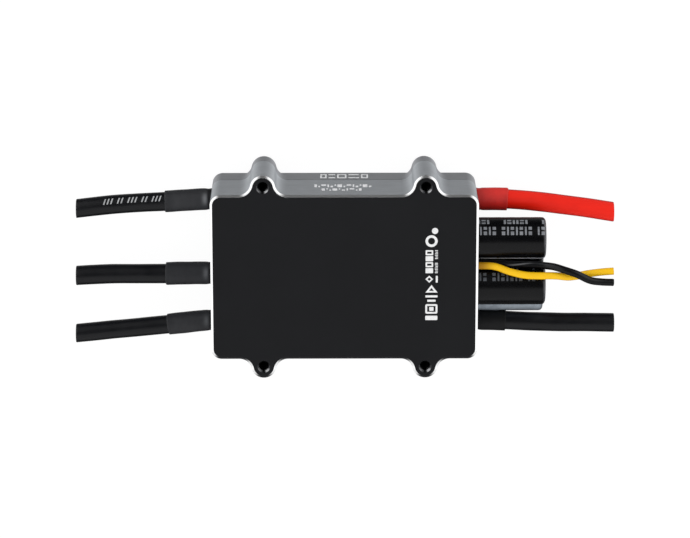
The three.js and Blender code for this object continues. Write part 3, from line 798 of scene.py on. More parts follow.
def stations(start, end, step):
    n = max(2, int(math.ceil(abs(end - start) / step)))
    return [start + (end - start) * i / n for i in range(n + 1)]


def ring_at(place, radius, n, shift=None):
    """Ring about a Frame, its angle running from +Y towards +Z.

    radius and shift (along the run, towards +X) may be functions of the angle.
    """
    out = []
    for j in range(n):
        a = 2 * math.pi * j / n
        r = radius(a) if callable(radius) else radius
        point = place.place + place.side * (r * math.cos(a)) + place.up * (r * math.sin(a))
        if shift is not None:
            point = point + place.ahead * shift(a)
        out.append(tuple(point))
    return out


def set_gleam(obj, values):
    """Stores a soft highlight weight per vertex, read by the material."""
    attribute = obj.data.attributes.new("gleam", "FLOAT", "POINT")
    attribute.data.foreach_set("value", values)


class Run:
    """A round run; each kind gives point(x)."""

    def frame(self, x):
        """Its place and cross axes at x; ahead points to +X, side to about +Y."""
        ahead = Vector(self.point(x + 0.01)) - Vector(self.point(x - 0.01))
        ahead.normalize()
        up = Vector((0, 0, 1)) - ahead * ahead.z
        up.normalize()
        return Frame(Vector(self.point(x)), ahead, -ahead.cross(up), up)

    def ring(self, x, radius, n, shift=None):
        return ring_at(self.frame(x), radius, n, shift)


class Lead(Run):
    """A level lead; out is the sign of X that it runs to."""

    def __init__(self, name, radius, sleeve_in, sleeve_out, mouth, knots,
                 red=False, gleam=(0.0, 0.0)):
        self.name, self.knots, self.red, self.gleam = name, knots, red, gleam
        self.radius, self.sleeve_in, self.sleeve_out = radius, sleeve_in, sleeve_out
        self.mouth = mouth
        self.out = 1 if mouth > 0 else -1
        self.tip = knots[-1][0] + 0.16 * self.out
        # phase of the small wobbles, so that no two leads are alike
        self.seed = sum(ord(c) for c in name)

    def point(self, x):
        return (x, along(self.knots, x, 1), LEAD_Z)

    def blend(self, obj):
        """Bakes the piece's placement into its mesh; the span past the sleeve's mouth is worked out
        but not used.
        """
        # the span is longer for the red lead
        bend = 10.6 if self.red else 8.0
        start = self.point(self.mouth - 0.2 * self.out)
        end = self.point(self.mouth + bend * self.out)
        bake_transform(obj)


class Wire(Run):
    """One wire of the signal pair."""

    def __init__(self, name, end, yellow, knots):
        self.name, self.end, self.yellow, self.knots = name, end, yellow, knots

    def point(self, x):
        return (x, along(self.knots, x, 1), along(self.knots, x, 2))


LEADS = [Lead(**row) for row in LEAD_TABLE]
WIRES = [Wire(**row) for row in WIRE_TABLE]


# ------------------------------------------------------------------ case
def end_openings():
    """Cutters through the end walls, for the shell and the heat sink alike."""
    tools = [rod_x(CAP_R + 0.17, OPEN_X0, OPEN_X1, y, z) for y, z in CAPS]
    # the space between the four capacitor bores
    tools.append(block(OPEN_X0, OPEN_X1, -4.4, 5.2, CAPS[2][1], CAPS[0][1]))
    # round-topped slot for the signal pair
    tools.append(rod_x(SLOT_R, OPEN_X0, OPEN_X1, SLOT_Y, SLOT_TOP, 32))
    tools.append(block(OPEN_X0, OPEN_X1, SLOT_Y - SLOT_R, SLOT_Y + SLOT_R, SLOT_BASE, SLOT_TOP))
    for lead in LEADS:
        y = along(lead.knots, 24.6 * lead.out, 1)
        x0, x1 = sorted((LEAD_HOLE_X0 * lead.out, OPEN_X1 * lead.out))
        tools.append(rod_x(LEAD_HOLE_R, x0, x1, y, LEAD_Z, 48))
    return tools


def cavity(z0, z1):
    ring = rounded(-CAVITY_X, CAVITY_X, -CAVITY_Y, CAVITY_Y, CAVITY_R)
    return solid([level(ring, z0), level(ring, z1)])


def build_shell():
    # (inset, z) going up, with the chamfer softened at both its edges
    rings = [
        (SMALL_BEVEL, SHELL_BASE), (0.0, SHELL_BASE + SMALL_BEVEL),
        (0.0, HEIGHT - CHAMFER_DROP - 0.03), (0.02, HEIGHT - CHAMFER_DROP + 0.02),
        (CHAMFER - 0.02, HEIGHT - 0.015), (CHAMFER + 0.03, HEIGHT)]
    body = solid([level(outline(inset), z) for inset, z in rings], "shell")
    tools = [cavity(0, CAVITY_ROOF)]
    # clearance, lead-in, thread, then a conical seat at the top
    bore = [(CLEAR_R, 4.0), (CLEAR_R, 10.3), (BORE_R + 0.16, 10.55)]
    bore += thread(10.75, 17.35, BORE_R, BORE_R + THREAD_DEPTH)
    bore += [
        (BORE_R, HEIGHT - (SEAT_R - BORE_R) - 0.05), (SEAT_R - 0.02, HEIGHT - 0.03),
        (SEAT_R + 0.03, HEIGHT), (SEAT_R + 0.03, HEIGHT + 0.4)]
    for x, side in EARS:
        tools.append(turned(bore, x, side * EAR_HOLE_Y))
    cut(body, tools + end_openings())

    def choose(centre, normal):
        if centre.z > HEIGHT - 0.03 and normal.z > 0.9:
            return 0
        near = min(math.hypot(centre.x - x, centre.y - side * EAR_HOLE_Y) for x, side in EARS)
        if near < SEAT_R + 0.1 and centre.z > 10:
            return 3
        if centre.z > HEIGHT - CHAMFER_DROP - 0.06 and normal.z > 0.2:
            return 1
        return 2

    dress(body, [MATS["cover"], MATS["edge"], MATS["wall"], MATS["seat"]], choose)
    ride(body, "black_anodised", "main_shell")


def groove(y):
    """A round-ended groove cutter, flared at its mouth and eased at its floor."""
    rings = []
    # (growth of the half width, z)
    for grow, z in ((0.30, -0.2), (0.10, 0.0), (0.0, 0.10),
                    (0.0, GROOVE_DEPTH - 0.15), (-0.15, GROOVE_DEPTH)):
        r = GROOVE_W / 2 + grow
        capsule = arc(GROOVE_END, y, r, -90, 90, 16) + [(-30.0, y + r), (-30.0, y - r)]
        rings.append(level(capsule, z))
    return solid(rings)


def build_heat_sink():
    rings = [(0.12, 0.0), (0.0, 0.12), (0.0, SINK_TOP - SMALL_BEVEL), (SMALL_BEVEL, SINK_TOP)]
    body = solid([level(outline(inset), z) for inset, z in rings], "heat_sink")
    tools = []
    # the ears stand clear of the ground; (y, z) under them, with the block's edge bevel
    under_ear = [
        (WIDTH / 2, EAR_FOOT), (WIDTH / 2, 0.12), (15.08, -1.0), (22, -1.0), (22, EAR_FOOT)]
    for side in (1, -1):
        ring = [(side * y, z) for y, z in under_ear]
        tools.append(solid([across(ring, -30), across(ring, 30)]))
    for i in range(GROOVE_COUNT):
        tools.append(groove((i - (GROOVE_COUNT - 1) / 2) * GROOVE_PITCH))
    tools.append(cavity(PEDESTAL_TOP, 20))
    # trench round the raised pedestal
    far_x, far_y = CAVITY_X - TRENCH_INSET, CAVITY_Y - TRENCH_INSET
    side_x = PEDESTAL_X + 0.01
    for x0, x1, y0, y1 in (
            (-far_x, -PEDESTAL_X, -far_y, far_y), (PEDESTAL_X, far_x, -far_y, far_y),
            (-side_x, side_x, PEDESTAL_Y, far_y), (-side_x, side_x, -far_y, -PEDESTAL_Y)):
        tools.append(block(x0, x1, y0, y1, TRENCH_FLOOR, PEDESTAL_TOP + 0.2))
    screw_way = [
        (2.25, -1), (2.25, EAR_FOOT - 0.02), (CLEAR_R + 0.12, EAR_FOOT),
        (CLEAR_R, EAR_FOOT + 0.12), (CLEAR_R, 12)]
    for x, side in EARS:
        tools.append(turned(screw_way, x, side * EAR_HOLE_Y))
    cut(body, tools + end_openings())
    dress(body, [MATS["sink"]], lambda centre, normal: 0)
    ride(body, "machined_aluminium", "heatsink_lid")


def build_screws():
    """Socket screws put in from below, with knurled heads."""
    n = 72
    socket_r = 0.75

    def hexagon(scale, grow=0.0):
        angles = [2 * math.pi * j / n for j in range(n)]
        return [socket_r / math.cos((a % (math.pi / 3)) - math.pi / 6) * scale + grow
                for a in angles]

    def plain(r):
        return [r] * n

    def knurl(r):
        return [r - (0.07 if j % 2 else 0.0) for j in range(n)]

    # (z, radii) from the socket's floor down, round the head and up the shank
    rows = [
        (0.93, hexagon(0.05)), (1.05, hexagon(0.9)), (1.0, hexagon(1.0)), (0.14, hexagon(1.0)),
        (0.05, hexagon(1.0, 0.09)), (0.05, plain(1.66)), (0.16, plain(1.80)),
        (0.26, knurl(1.9)), (1.72, knurl(1.9)), (1.80, plain(1.84)), (1.93, plain(1.74)),
        (1.95, plain(1.12)), (2.06, plain(1.0)), (2.4, plain(1.0))]
    rows += [(z, plain(r)) for r, z in thread(2.5, 9.6, 0.86, 1.0)]
    rows += [(9.7, plain(0.86)), (9.9, plain(0.68))]
    for i, (x, side) in enumerate(EARS):
        turn = 0.3 + 1.1 * i
        y = side * EAR_HOLE_Y
        angles = [2 * math.pi * j / n + turn for j in range(n)]
        rings = [[(x + r * math.cos(a), y + r * math.sin(a), z) for a, r in zip(angles, radii)]
                 for z, radii in rows]
        screw = Parts().loft(rings).object(f"screw_{i + 1}", [MATS["screw"]], sharp=25)
        ride(screw, "screw_steel", f"case_screw_{i + 1}")


# ------------------------------------------------------------------ capacitors
CAP_TURN_X = CAP_X1 - CAP_SHOULDER_R  # where the sleeve starts to roll over the end
CAP_PRINT_X = CAP_X0 + 3.0  # where the print starts


def build_cap_sleeve(i, cy, cz):
    """Shrunk vinyl: open lip and crimp at the -X end, body, rolled shoulder and lip at +X."""
    r, x0, x1 = CAP_R, CAP_X0, CAP_X1
    # (x, radius)
    profile = [
        (x0 + 0.25, 2.9), (x0 + 0.06, 3.0), (x0, 3.35), (x0 + 0.1, r - 0.22),
        (x0 + 0.35, r - 0.03), (x0 + 0.7, r), (x0 + 1.35, r), (x0 + 1.62, r - 0.12),
        (x0 + 1.85, r - 0.36), (x0 + 2.05, r - 0.44), (x0 + 2.25, r - 0.36),
        (x0 + 2.48, r - 0.12), (x0 + 2.75, r)]
    for k in range(1, 25):
        x = x0 + 2.75 + (x1 - 1.0 - x0 - 2.75) * k / 24
        profile.append((x, r + 0.008 * math.sin(k * 1.7 + i)))
    for degrees in range(10, 91, 10):
        a = math.radians(degrees)
        profile.append((CAP_TURN_X + CAP_SHOULDER_R * math.sin(a),
                        r - CAP_SHOULDER_R + CAP_SHOULDER_R * math.cos(a)))
    profile += [(x1, 3.05), (x1 - 0.03, 2.98), (x1 - 0.12, 2.93), (x1 - 0.3, 2.93)]
    parts = Parts().loft([across(circle(cy, cz, q, 96), x) for x, q in profile])
    sleeve = parts.object(f"capacitor_{i + 1}_sleeve", [MATS["vinyl"]], sharp=50)
    ride(sleeve, "capacitor_sleeve", f"capacitor_{i + 1}")


def build_cap_can(i, cy, cz):
    """End of the can with its pressed vent: a shallow cross score."""
    n, can_r = 144, 2.9
    turn = 0.5 + 0.9 * i
    arms = (0, math.pi / 2, math.pi, 1.5 * math.pi)
    rings = [across(circle(cy, cz, can_r, n), CAP_X1 - 0.6)]
    for q in (2.9, 2.82, 2.7, 2.5, 2.2, 1.8, 1.4, 1.0, 0.6, 0.3, 0.0001):
        dome = 0.05 * (1 - (q / can_r) ** 2)
        edge = 0.06 if q > 2.85 else 0.0
        ring = []
        for j in range(n):
            a = 2 * math.pi * j / n
            near = min(abs(math.sin((a - turn - arm) / 2) * 2) * q for arm in arms)
            dip = 0.09 * max(0.0, 1 - near / 0.14) if q < 2.4 else 0.0
            x = CAP_X1 - 0.19 - dip + dome - edge
            ring.append((x, cy + q * math.cos(a), cz + q * math.sin(a)))
        rings.append(ring)
    can = Parts().loft(rings).object(f"capacitor_{i + 1}_can", [MATS["can"]], sharp=20)
    ride(can, "machined_aluminium")


def build_cap_base(i, cy, cz):
    """Rubber bung and tinned pins towards the board."""
    x0 = CAP_X0
    bung = ((x0 + 0.4, 2.86), (x0 + 0.12, 2.86), (x0 + 0.05, 2.7))
    pin = ((16.2, 0.18), (16.3, 0.3), (x0 - 0.3, 0.3), (x0 - 0.05, 0.45), (x0 + 0.2, 0.5))
    parts = Parts().loft([across(circle(cy, cz, r, 96), x) for x, r in bung])
    for dy in (-1.75, 1.75):
        parts.loft([across(circle(cy + dy, cz, r, 20), x) for x, r in pin], mat=1)
    base = parts.object(f"capacitor_{i + 1}_base", [MATS["bung"], MATS["tin"]])
    ride(base, "capacitor_sleeve")


def sleeve_path(x0, x1, lift):
    """(x, radius) along the sleeve and over its shoulder, lifted along its normal."""
    out = [(x, CAP_R + lift) for x in stations(x0, min(x1, CAP_TURN_X), 1.6)]
    if x1 > CAP_TURN_X:
        last = math.asin(min(0.98, (x1 - CAP_TURN_X) / CAP_SHOULDER_R))
        for k in range(1, 9):
            a = last * k / 8
            out.append((CAP_TURN_X + (CAP_SHOULDER_R + lift) * math.sin(a),
                        CAP_R - CAP_SHOULDER_R + (CAP_SHOULDER_R + lift) * math.cos(a)))
    return out


def patch(parts, cap, x0, x1, a0, a1, mat=0, lift=0.014):
    """A thin closed patch on a sleeve, from a0 to a1 degrees round it."""
    cy, cz = CAPS[cap]
    steps = int(abs(a1 - a0) / 3)
    loop = sleeve_path(x0, x1, -0.04) + list(reversed(sleeve_path(x0, x1, lift)))
    rings = []
    for t in range(steps + 1):
        a = math.radians(a0 + (a1 - a0) * t / steps)
        rings.append([(x, cy + r * math.cos(a), cz + r * math.sin(a)) for x, r in loop])
    parts.loft(rings, mat)


def build_cap_bands():
    """A pale band along each sleeve with a row of dark dashes in its middle."""
    over_band = dict(mat=1, lift=0.022)
    for cap, (a0, a1) in enumerate(((147.5, 206), (232, 278), (118, 192), (196, 250))):
        parts = Parts()
        patch(parts, cap, CAP_PRINT_X, CAP_X1 - 0.04, a0, a1)
        middle = (a0 + a1) / 2
        x = CAP_PRINT_X + 1.2
        while x < CAP_TURN_X - 1.2:
            patch(parts, cap, x, x + 1.15, middle - 3.2, middle + 3.2, **over_band)
            x += 3.75
        if cap == 2:
            # a long bar and a short cross bar beside the dashes
            patch(parts, cap, 32.4, 35.9, 150.5, 154, **over_band)
            patch(parts, cap, 36.15, 36.45, 148, 156, **over_band)
        ink = MATS["stripe" if cap else "lit_stripe"]
        band = parts.object(f"capacitor_{cap + 1}_band", [ink, MATS["vinyl"]])
        ride(band, "capacitor_sleeve")


# Rows of plain bars, running towards -X in groups. A bar whose place in `widths` is `split`
# is two blocks; `angles` are the ends of those two, in degrees.
CODE_ROWS = [
    dict(start=CAP_TURN_X + 0.35, groups=(1, 6, 4), widths=(0.42, 0.78, 0.42), split=1,
         gap=0.26, group_gap=2.5, angles=(16, 22, 27, 33)),
    dict(start=CAP_X1 - 0.35, groups=(2, 7, 6), widths=(0.64, 0.34), split=0,
         gap=0.36, group_gap=0.75, angles=(43, 52, 57, 67)),
]


def code_row(parts, cap, shift, start, groups, widths, split, gap, group_gap, angles):
    a0, a1, a2, a3 = angles
    x = start - shift
    for count in groups:
        for k in range(count):
            place = k % len(widths)
            width = widths[place]
            if x - width > CAP_PRINT_X + 0.2:
                for low, high in ((a0, a1), (a2, a3)) if place == split else ((a0, a3),):
                    patch(parts, cap, x - width, x, low, high)
            x -= width + gap
        x -= group_gap


def build_cap_codes():
    # the second capacitor's print takes the darker copy of the ink, as painted shade
    for cap, shift, ink in ((0, 0.0, "cap_ink"), (1, 1.7, "shaded_ink")):
        parts = Parts()
        for row in CODE_ROWS:
            code_row(parts, cap, shift, **row)
        ride(parts.object(f"capacitor_{cap + 1}_code_bars", [MATS[ink]]), "capacitor_sleeve")


def build_capacitors():
    for i, (cy, cz) in enumerate(CAPS):
        build_cap_sleeve(i, cy, cz)
        build_cap_can(i, cy, cz)
        build_cap_base(i, cy, cz)
    build_cap_bands()
    build_cap_codes()


# ------------------------------------------------------------------ leads
LEAD_N = 48  # segments round a jacket or sleeve


def build_lead_jacket(lead):
    """A closed tube with a slightly rounded, uneven cut end."""
    out, seed, r, tip = lead.out, lead.seed, lead.radius, lead.tip
    core_r = 1.12
    start = 23.2 * out

    def wobble(x):
        return lambda a: (r + 0.010 * math.sin(2 * a + 0.5 * x + seed)
                          + 0.006 * math.sin(3 * a - 0.9 * x))

    def ragged(scale):
        return lambda a: out * scale * (
            0.5 * math.sin(a + seed) + 0.5 * math.sin(2 * a + 1.3 * seed))

    def ring(x, radius, shift=None):
        """Leans over towards the tip, so that the cut lies square to X."""
        amount = clamp(1 - (abs(tip) - abs(x)) / 2.4) ** 2
        here = lead.frame(x)
        return [tuple(Vector(q) + here.ahead * (amount * (x - q[0]) / here.ahead.x))
                for q in ring_at(here, radius, LEAD_N, shift)]

    rings = [ring(x, wobble(x)) for x in stations(start, tip - 0.2 * out, 0.5)]
    # (distance back from the tip, radius, raggedness) over the cut face
    for back, radius, scale in (
            (0.06, r - 0.012, 0.02), (0.0, r - 0.07, 0.02),
            (0.0, (r + core_r) / 2, 0.015), (0.0, 1.16, 0.01)):
        rings.append(ring(tip - back * out, radius, ragged(scale)))
    rings.append(ring(tip - 0.05 * out, core_r))
    rings += [ring(x, core_r) for x in stations(tip - 0.5 * out, start, 1.0)]
    mat = MATS["red_jacket" if lead.red else "black_jacket"]
    tube = Parts().loft(rings, closed=True).object(f"{lead.name}_jacket", [mat], sharp=40)
    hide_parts(f"{lead.name}_inner_jacket", f"{lead.name}_outer_jacket")
    lead.blend(tube)


def build_lead_strands(lead):
    """Conductor: a fluted rope, with every strand showing at the cut end."""
    out, tip = lead.out, lead.tip

    def rope(x):
        return lambda a: 0.93 - 0.035 * abs(math.sin(9 * (a + 0.22 * x)))

    xs = stations(lead.knots[0][0] + 0.2 * out, tip - 0.55 * out, 0.6)
    parts = Parts().loft([lead.ring(x, rope(x), 72) for x in xs])
    tail = [lead.frame(tip - back * out) for back in (0.7, 0.25, 0.1, 0.04)]
    for layer, count in enumerate((1, 6, 12, 18)):
        for strand in range(count):
            a = 2 * math.pi * strand / count + 0.35 * layer
            q = 0.262 * layer
            # the strands end unevenly
            jut = 0.06 * math.sin(12.9 * layer + 7.7 * strand + lead.seed) * 0.6
            rings = []
            for here, scale, extra in zip(tail, (1, 1, 1, 0.62), (0, 0, jut, jut)):
                p, ahead = here.place, here.ahead
                centre = p + here.side * (q * math.cos(a)) + here.up * (q * math.sin(a))
                # first square to X, then out by the jut
                centre = centre + ahead * ((p.x - centre.x) / ahead.x) + ahead * extra
                rings.append(ring_at(here._replace(place=centre), 0.124 * scale, 10))
            parts.loft(rings)
    core = parts.object(f"{lead.name}_strands", [MATS["copper"]], sharp=50)
    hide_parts(f"{lead.name}_inner_core", f"{lead.name}_outer_core")
    lead.blend(core)


def sleeve_gleam(lead, x, y, z):
    """Painted highlight weight: a highlight just outside the wall and a sheen along the top."""
    wall_highlight, sheen = lead.gleam
    a = math.atan2(z - LEAD_Z, y - along(lead.knots, x, 1))
    off = abs(x) - 26.71
    wide = 0.55 if off > 0 else 0.30
    wall_highlight *= max(0.0, math.cos(a - math.radians(75))) ** 8
    sheen = (sheen * clamp((34.0 - abs(x)) / 1.5)
             * max(0.0, math.cos(a - math.radians(84))) ** 4 * (1 + 0.25 * math.sin(2.1 * x)))
    return wall_highlight * math.exp(-((off / wide) ** 2)) + sheen


def build_lead_sleeve(lead):
    """Heat-shrink: drawn down near the wall, full in the middle, with an uneven mouth."""
    out, seed, mouth, inner = lead.out, lead.seed, lead.mouth, lead.sleeve_in
    wall = LENGTH / 2
    start = 23.9 * out

    def form(x, change=0.0):
        u = abs(x)
        pinch = 0.10 * math.exp(-(((u - wall - 0.55) / 0.45) ** 2))
        belly = 0.03 * math.sin(math.pi * clamp((u - wall) / (abs(mouth) - wall)))
        tight = 0.05 * clamp((wall - u) / 0.6)
        base = lead.sleeve_out - 0.02 + belly - pinch - tight
        return lambda a: (base + 0.016 * math.sin(2 * a + 0.8 * u + seed)
                          + 0.010 * math.sin(3 * a - 1.7 * u + seed) + change)

    def ragged(scale):
        return lambda a: scale * (0.55 * math.sin(a + 0.7 * seed)
                                  + 0.3 * math.sin(2 * a + seed) + 0.15 * math.sin(5 * a))

    rings = [lead.ring(x, form(x), LEAD_N) for x in stations(start, mouth - 0.55 * out, 0.22)]
    # (distance back from the mouth, change of radius, raggedness)
    for back, change, scale in (
            (0.34, 0.0, 0.04), (0.2, 0.004, 0.08), (0.12, -0.004, 0.1),
            (0.05, -0.035, 0.11), (0.0, -0.09, 0.12)):
        x = mouth - back * out
        rings.append(lead.ring(x, form(x, change), LEAD_N, ragged(scale)))
    rings.append(lead.ring(mouth - 0.01 * out, inner + 0.03, LEAD_N, ragged(0.12)))
    rings.append(lead.ring(mouth - 0.08 * out, inner, LEAD_N, ragged(0.1)))
    rings += [lead.ring(x, inner, LEAD_N) for x in stations(mouth - 0.4 * out, start, 0.8)]
    parts = Parts().loft(rings, closed=True)
    # the sleeve at +X takes the darker copy, as painted shade
    mat = "red_sleeve" if lead.red else "black_sleeve" if out < 0 else "shaded_black_sleeve"
    sleeve = parts.object(f"{lead.name}_shrink_sleeve", [MATS[mat]], sharp=55)
    set_gleam(sleeve, [sleeve_gleam(lead, *vert) for vert in parts.verts])
    ride(sleeve, "shrink_red" if lead.red else "shrink_black", f"{lead.name}_sleeve")


def build_lead_dashes(lead):
    """Slanted strokes of ink in groups on the jacket."""
    parts = Parts()
    half, slant, steps = 0.26 / 2, -0.42, 8
    low, high = lead.radius - 0.03, lead.radius + 0.024
    x = -35.2
    for count in (3, 2, 3, 2, 3):
        for _ in range(count):
            rings = []
            for t in range(steps + 1):
                a = math.radians(38 + (73 - 38) * t / steps)
                middle = x + slant * t / steps
                loop = []
                for dx, r in ((-half, low), (-half, high), (half, high), (half, low)):
                    here = lead.frame(middle + dx)
                    loop.append(tuple(
                        here.place + here.side * (r * math.cos(a)) + here.up * (r * math.sin(a))))
                rings.append(loop)
            parts.loft(rings)
            x -= 0.68
        x -= 0.62
    dashes = parts.object(f"{lead.name}_dashes", [MATS["jacket_ink"]])
    lead.blend(dashes)


def build_leads():
    for lead in LEADS:
        build_lead_jacket(lead)
        build_lead_strands(lead)
        build_lead_sleeve(lead)
        if lead.name == "motor_lead_1":
            build_lead_dashes(lead)


def wire_gleam(ring):
    """Painted highlight weights round one ring: a line that drops towards +Y and fades along X."""
    middle = sum((Vector(q) for q in ring), Vector()) / len(ring)
    x = middle.x
    strength = (clamp((x - 30.8) / 1.4) * max(0.16, min(1.0, (36.6 - x) / 2.4))
                * clamp((41.5 - x) / 3.0))
    line = max(46.0, min(87.0, 87 - 11.7 * (x - 32.1)))
    angles = [math.degrees(math.atan2(q[2] - middle.z, q[1] - middle.y)) for q in ring]
    return [strength * math.exp(-(((a - line) / 9) ** 2)) for a in angles]


def build_wire(wire):
    """Jacket of one signal wire, with seven tinned strands in its cut end."""
    n, r, end = 40, WIRE_R, wire.end

    def wobble(x):
        return lambda a: r + 0.006 * math.sin(2 * a + 0.6 * x)

    start = wire.knots[0][0]
    rings = [wire.ring(start, radius, n) for radius in (0.3, r - 0.05)]
    rings += [wire.ring(x, wobble(x), n) for x in stations(start, end - 0.12, 0.3)]
    for back, radius in ((0.04, r - 0.01), (0.0, r - 0.06), (0.0, 0.42), (0.2, 0.40)):
        rings.append(wire.ring(end - back, radius, n))
    parts = Parts().loft(rings)
    # only the black wire gets the painted highlight
    if wire.yellow:
        weights = []
    else:
        weights = [weight for ring in rings for weight in wire_gleam(ring)]
    tail = [wire.frame(end - back) for back in (0.3, 0.1, 0.03)]
    for strand in range(7):
        a = 2 * math.pi * strand / 6
        q = 0.0 if strand == 6 else 0.25
        rings = []
        for here, scale in zip(tail, (1, 1, 0.6)):
            centre = here.place + here.side * (q * math.cos(a)) + here.up * (q * math.sin(a))
            rings.append(ring_at(here._replace(place=centre), 0.115 * scale, 10))
        parts.loft(rings, mat=1)
    mat = MATS["yellow_wire" if wire.yellow else "black_wire"]
    run = parts.object(f"{wire.name}_run", [mat, MATS["tin"]], sharp=45)
    set_gleam(run, weights + [0.0] * (len(parts.verts) - len(weights)))
    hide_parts(f"{wire.name}_inner", f"{wire.name}_outer")
    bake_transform(run)


# ------------------------------------------------------------------ plain marks
class Marks(Parts):
    """Thin shapes from depth low to high; place(u, v, depth) lays them on a surface."""

    def __init__(self, place, low, high):
        super().__init__()
        self.place, self.low, self.high = place, low, high

    def shape(self, outer, hole=None):
        """A slab, or a frame when a hole of the same count is given."""
        if hole is None:
            turns = ((outer, self.low), (outer, self.high))
        else:
            turns = ((outer, self.low), (outer, self.high), (hole, self.high), (hole, self.low))
        rings = [[self.place(u, v, depth) for u, v in points] for points, depth in turns]
        self.loft(rings, closed=hole is not None)

    def bar(self, u0, u1, v0, v1, r=0.1):
        self.shape(rounded(u0, u1, v0, v1, r, 4))

    def box(self, u0, u1, v0, v1, wall_u, wall_v, r, hole_r):
        hole = rounded(u0 + wall_u, u1 - wall_u, v0 + wall_v, v1 - wall_v, hole_r, 4)
        self.shape(rounded(u0, u1, v0, v1, r, 4), hole)


def build_cover_marks():
    """A column of plain shapes on the cover, near +X, from +Y to -Y."""
    marks = Marks(lambda u, v, depth: (u, v, depth), HEIGHT - 0.03, HEIGHT + 0.012)
    cx = 16.6
    left, right = cx - 1.16, cx + 1.16
    # disc and heavy ring
    marks.shape(circle(cx + 0.6, 9.2, 0.6, 36))
    marks.shape(circle(cx - 0.05, 7.2, 1.16, 56), circle(cx - 0.05, 7.2, 0.66, 56))
    # four small boxes, open and filled by turns, beside a fine ladder
    y = 5.42
    for k in range(4):
        if k % 2:
            marks.bar(left, cx + 0.28, y - 1.0, y, 0.12)
        else:
            marks.box(left, cx + 0.28, y - 1.0, y, 0.3, 0.3, r=0.14, hole_r=0.02)
        y -= 1.18
    y = 5.4
    for k in range(15):
        if k not in (6, 7):
            marks.bar(cx + 0.62 + (0.1 if k % 3 == 1 else 0.0), cx + 1.18, y - 0.16, y, 0.03)
        y -= 0.31
    # diamond and bar
    corners = ((1, 0), (0, 1), (-1, 0), (0, -1))
    marks.shape([(cx - 0.44 + 0.74 * u, -0.3 + 0.70 * v) for u, v in corners],
                [(cx - 0.44 + 0.36 * u, -0.3 + 0.34 * v) for u, v in corners])
    marks.bar(cx + 0.80, cx + 1.18, -0.98, 0.36, 0.08)
    # a wedge over two level bars
    marks.shape([(left, -2.95), (right, -2.95), (cx, -1.45)],
                [(cx - 0.46, -2.62), (cx + 0.46, -2.62), (cx, -2.03)])
    marks.bar(left, right, -3.92, -3.5)
    marks.bar(cx - 0.8, cx + 0.8, -4.78, -4.36)
    # square in a square, and a foot
    marks.box(left, right, -7.15, -5.25, 0.36, 0.36, r=0.3, hole_r=0.02)
    marks.bar(cx - 0.42, cx + 0.42, -6.58, -5.82)
    marks.bar(left, right, -8.42, -7.55, 0.16)
    ride(marks.object("cover_marks", [MATS["cover_ink"]], sharp=30), "black_anodised")


def build_wall_marks():
    """Plain etched bars on the long +Y wall."""
    marks = Marks(lambda u, v, depth: (u, depth, v), WIDTH / 2 - 0.04, WIDTH / 2 + 0.012)
    # row on the heat sink: open boxes and paired rules
    x = -4.6
    for k, width in enumerate((1.25, 1.3, 1.8, 2.1, 1.35)):
        if k % 2:
            marks.bar(x, x + width, 1.35, 2.05)
            marks.bar(x, x + width, 3.75, 4.45)
        else:
            marks.box(x, x + width, 1.3, 4.5, 0.3, 0.65, r=0.2, hole_r=0.1)
        x += width + 0.36
    # two finer rows on the shell: start, gap, the three (low, high) in turn, widths
    for x, gap, spans, widths in (
            (-5.7, 0.28, ((9.4, 11.6), (10.4, 11.6), (9.4, 10.5)),
             (0.5, 0.28, 0.9, 0.28, 0.5, 0.28, 0.9, 0.28, 0.9, 0.28, 0.5, 0.28, 0.9, 0.5)),
            (-4.3, 0.30, ((12.5, 14.2), (12.5, 13.3), (13.4, 14.2)),
             (0.6, 0.28, 0.28, 0.9, 0.28, 0.6, 0.28, 0.9, 0.28, 0.5))):
        for k, width in enumerate(widths):
            marks.bar(x, x + width, *spans[k % 3])
            x += width + gap
    ride(marks.object("wall_marks", [MATS["etch"]], sharp=30), "machined_aluminium")


# ------------------------------------------------------------------ inside the case
INSIDE = [
    ("board", ["power_board", "control_board", "capacitor_board"]),
    ("header", ["board_header"]),
    ("pad", ["thermal_pad"]),
    ("chip", [f"mosfet_{i + 1}" for i in range(6)] + ["microcontroller", "gate_driver"]),
    ("ferrite", ["regulator_inductor"]),
    ("shunt", ["current_shunt"]),
    ("busbar", ["busbar_positive", "busbar_negative"]),
]


def dress_inside():
    for mat, nodes in INSIDE:
        for node in nodes:
            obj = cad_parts[node]
            if not obj.material_slots:
                obj.data.materials.append(MATS[mat])
            for slot in obj.material_slots:
                slot.material = MATS[mat]


# ------------------------------------------------------------------ studio
def side_boxes(shader, x, y, over):
    """Two bright panels, at -X and +X, kept off the -Y side."""
    return shader.mul(
        shader.remap(shader.absolute(x), over=over), shader.remap(y, over=(-0.62, -0.40)))


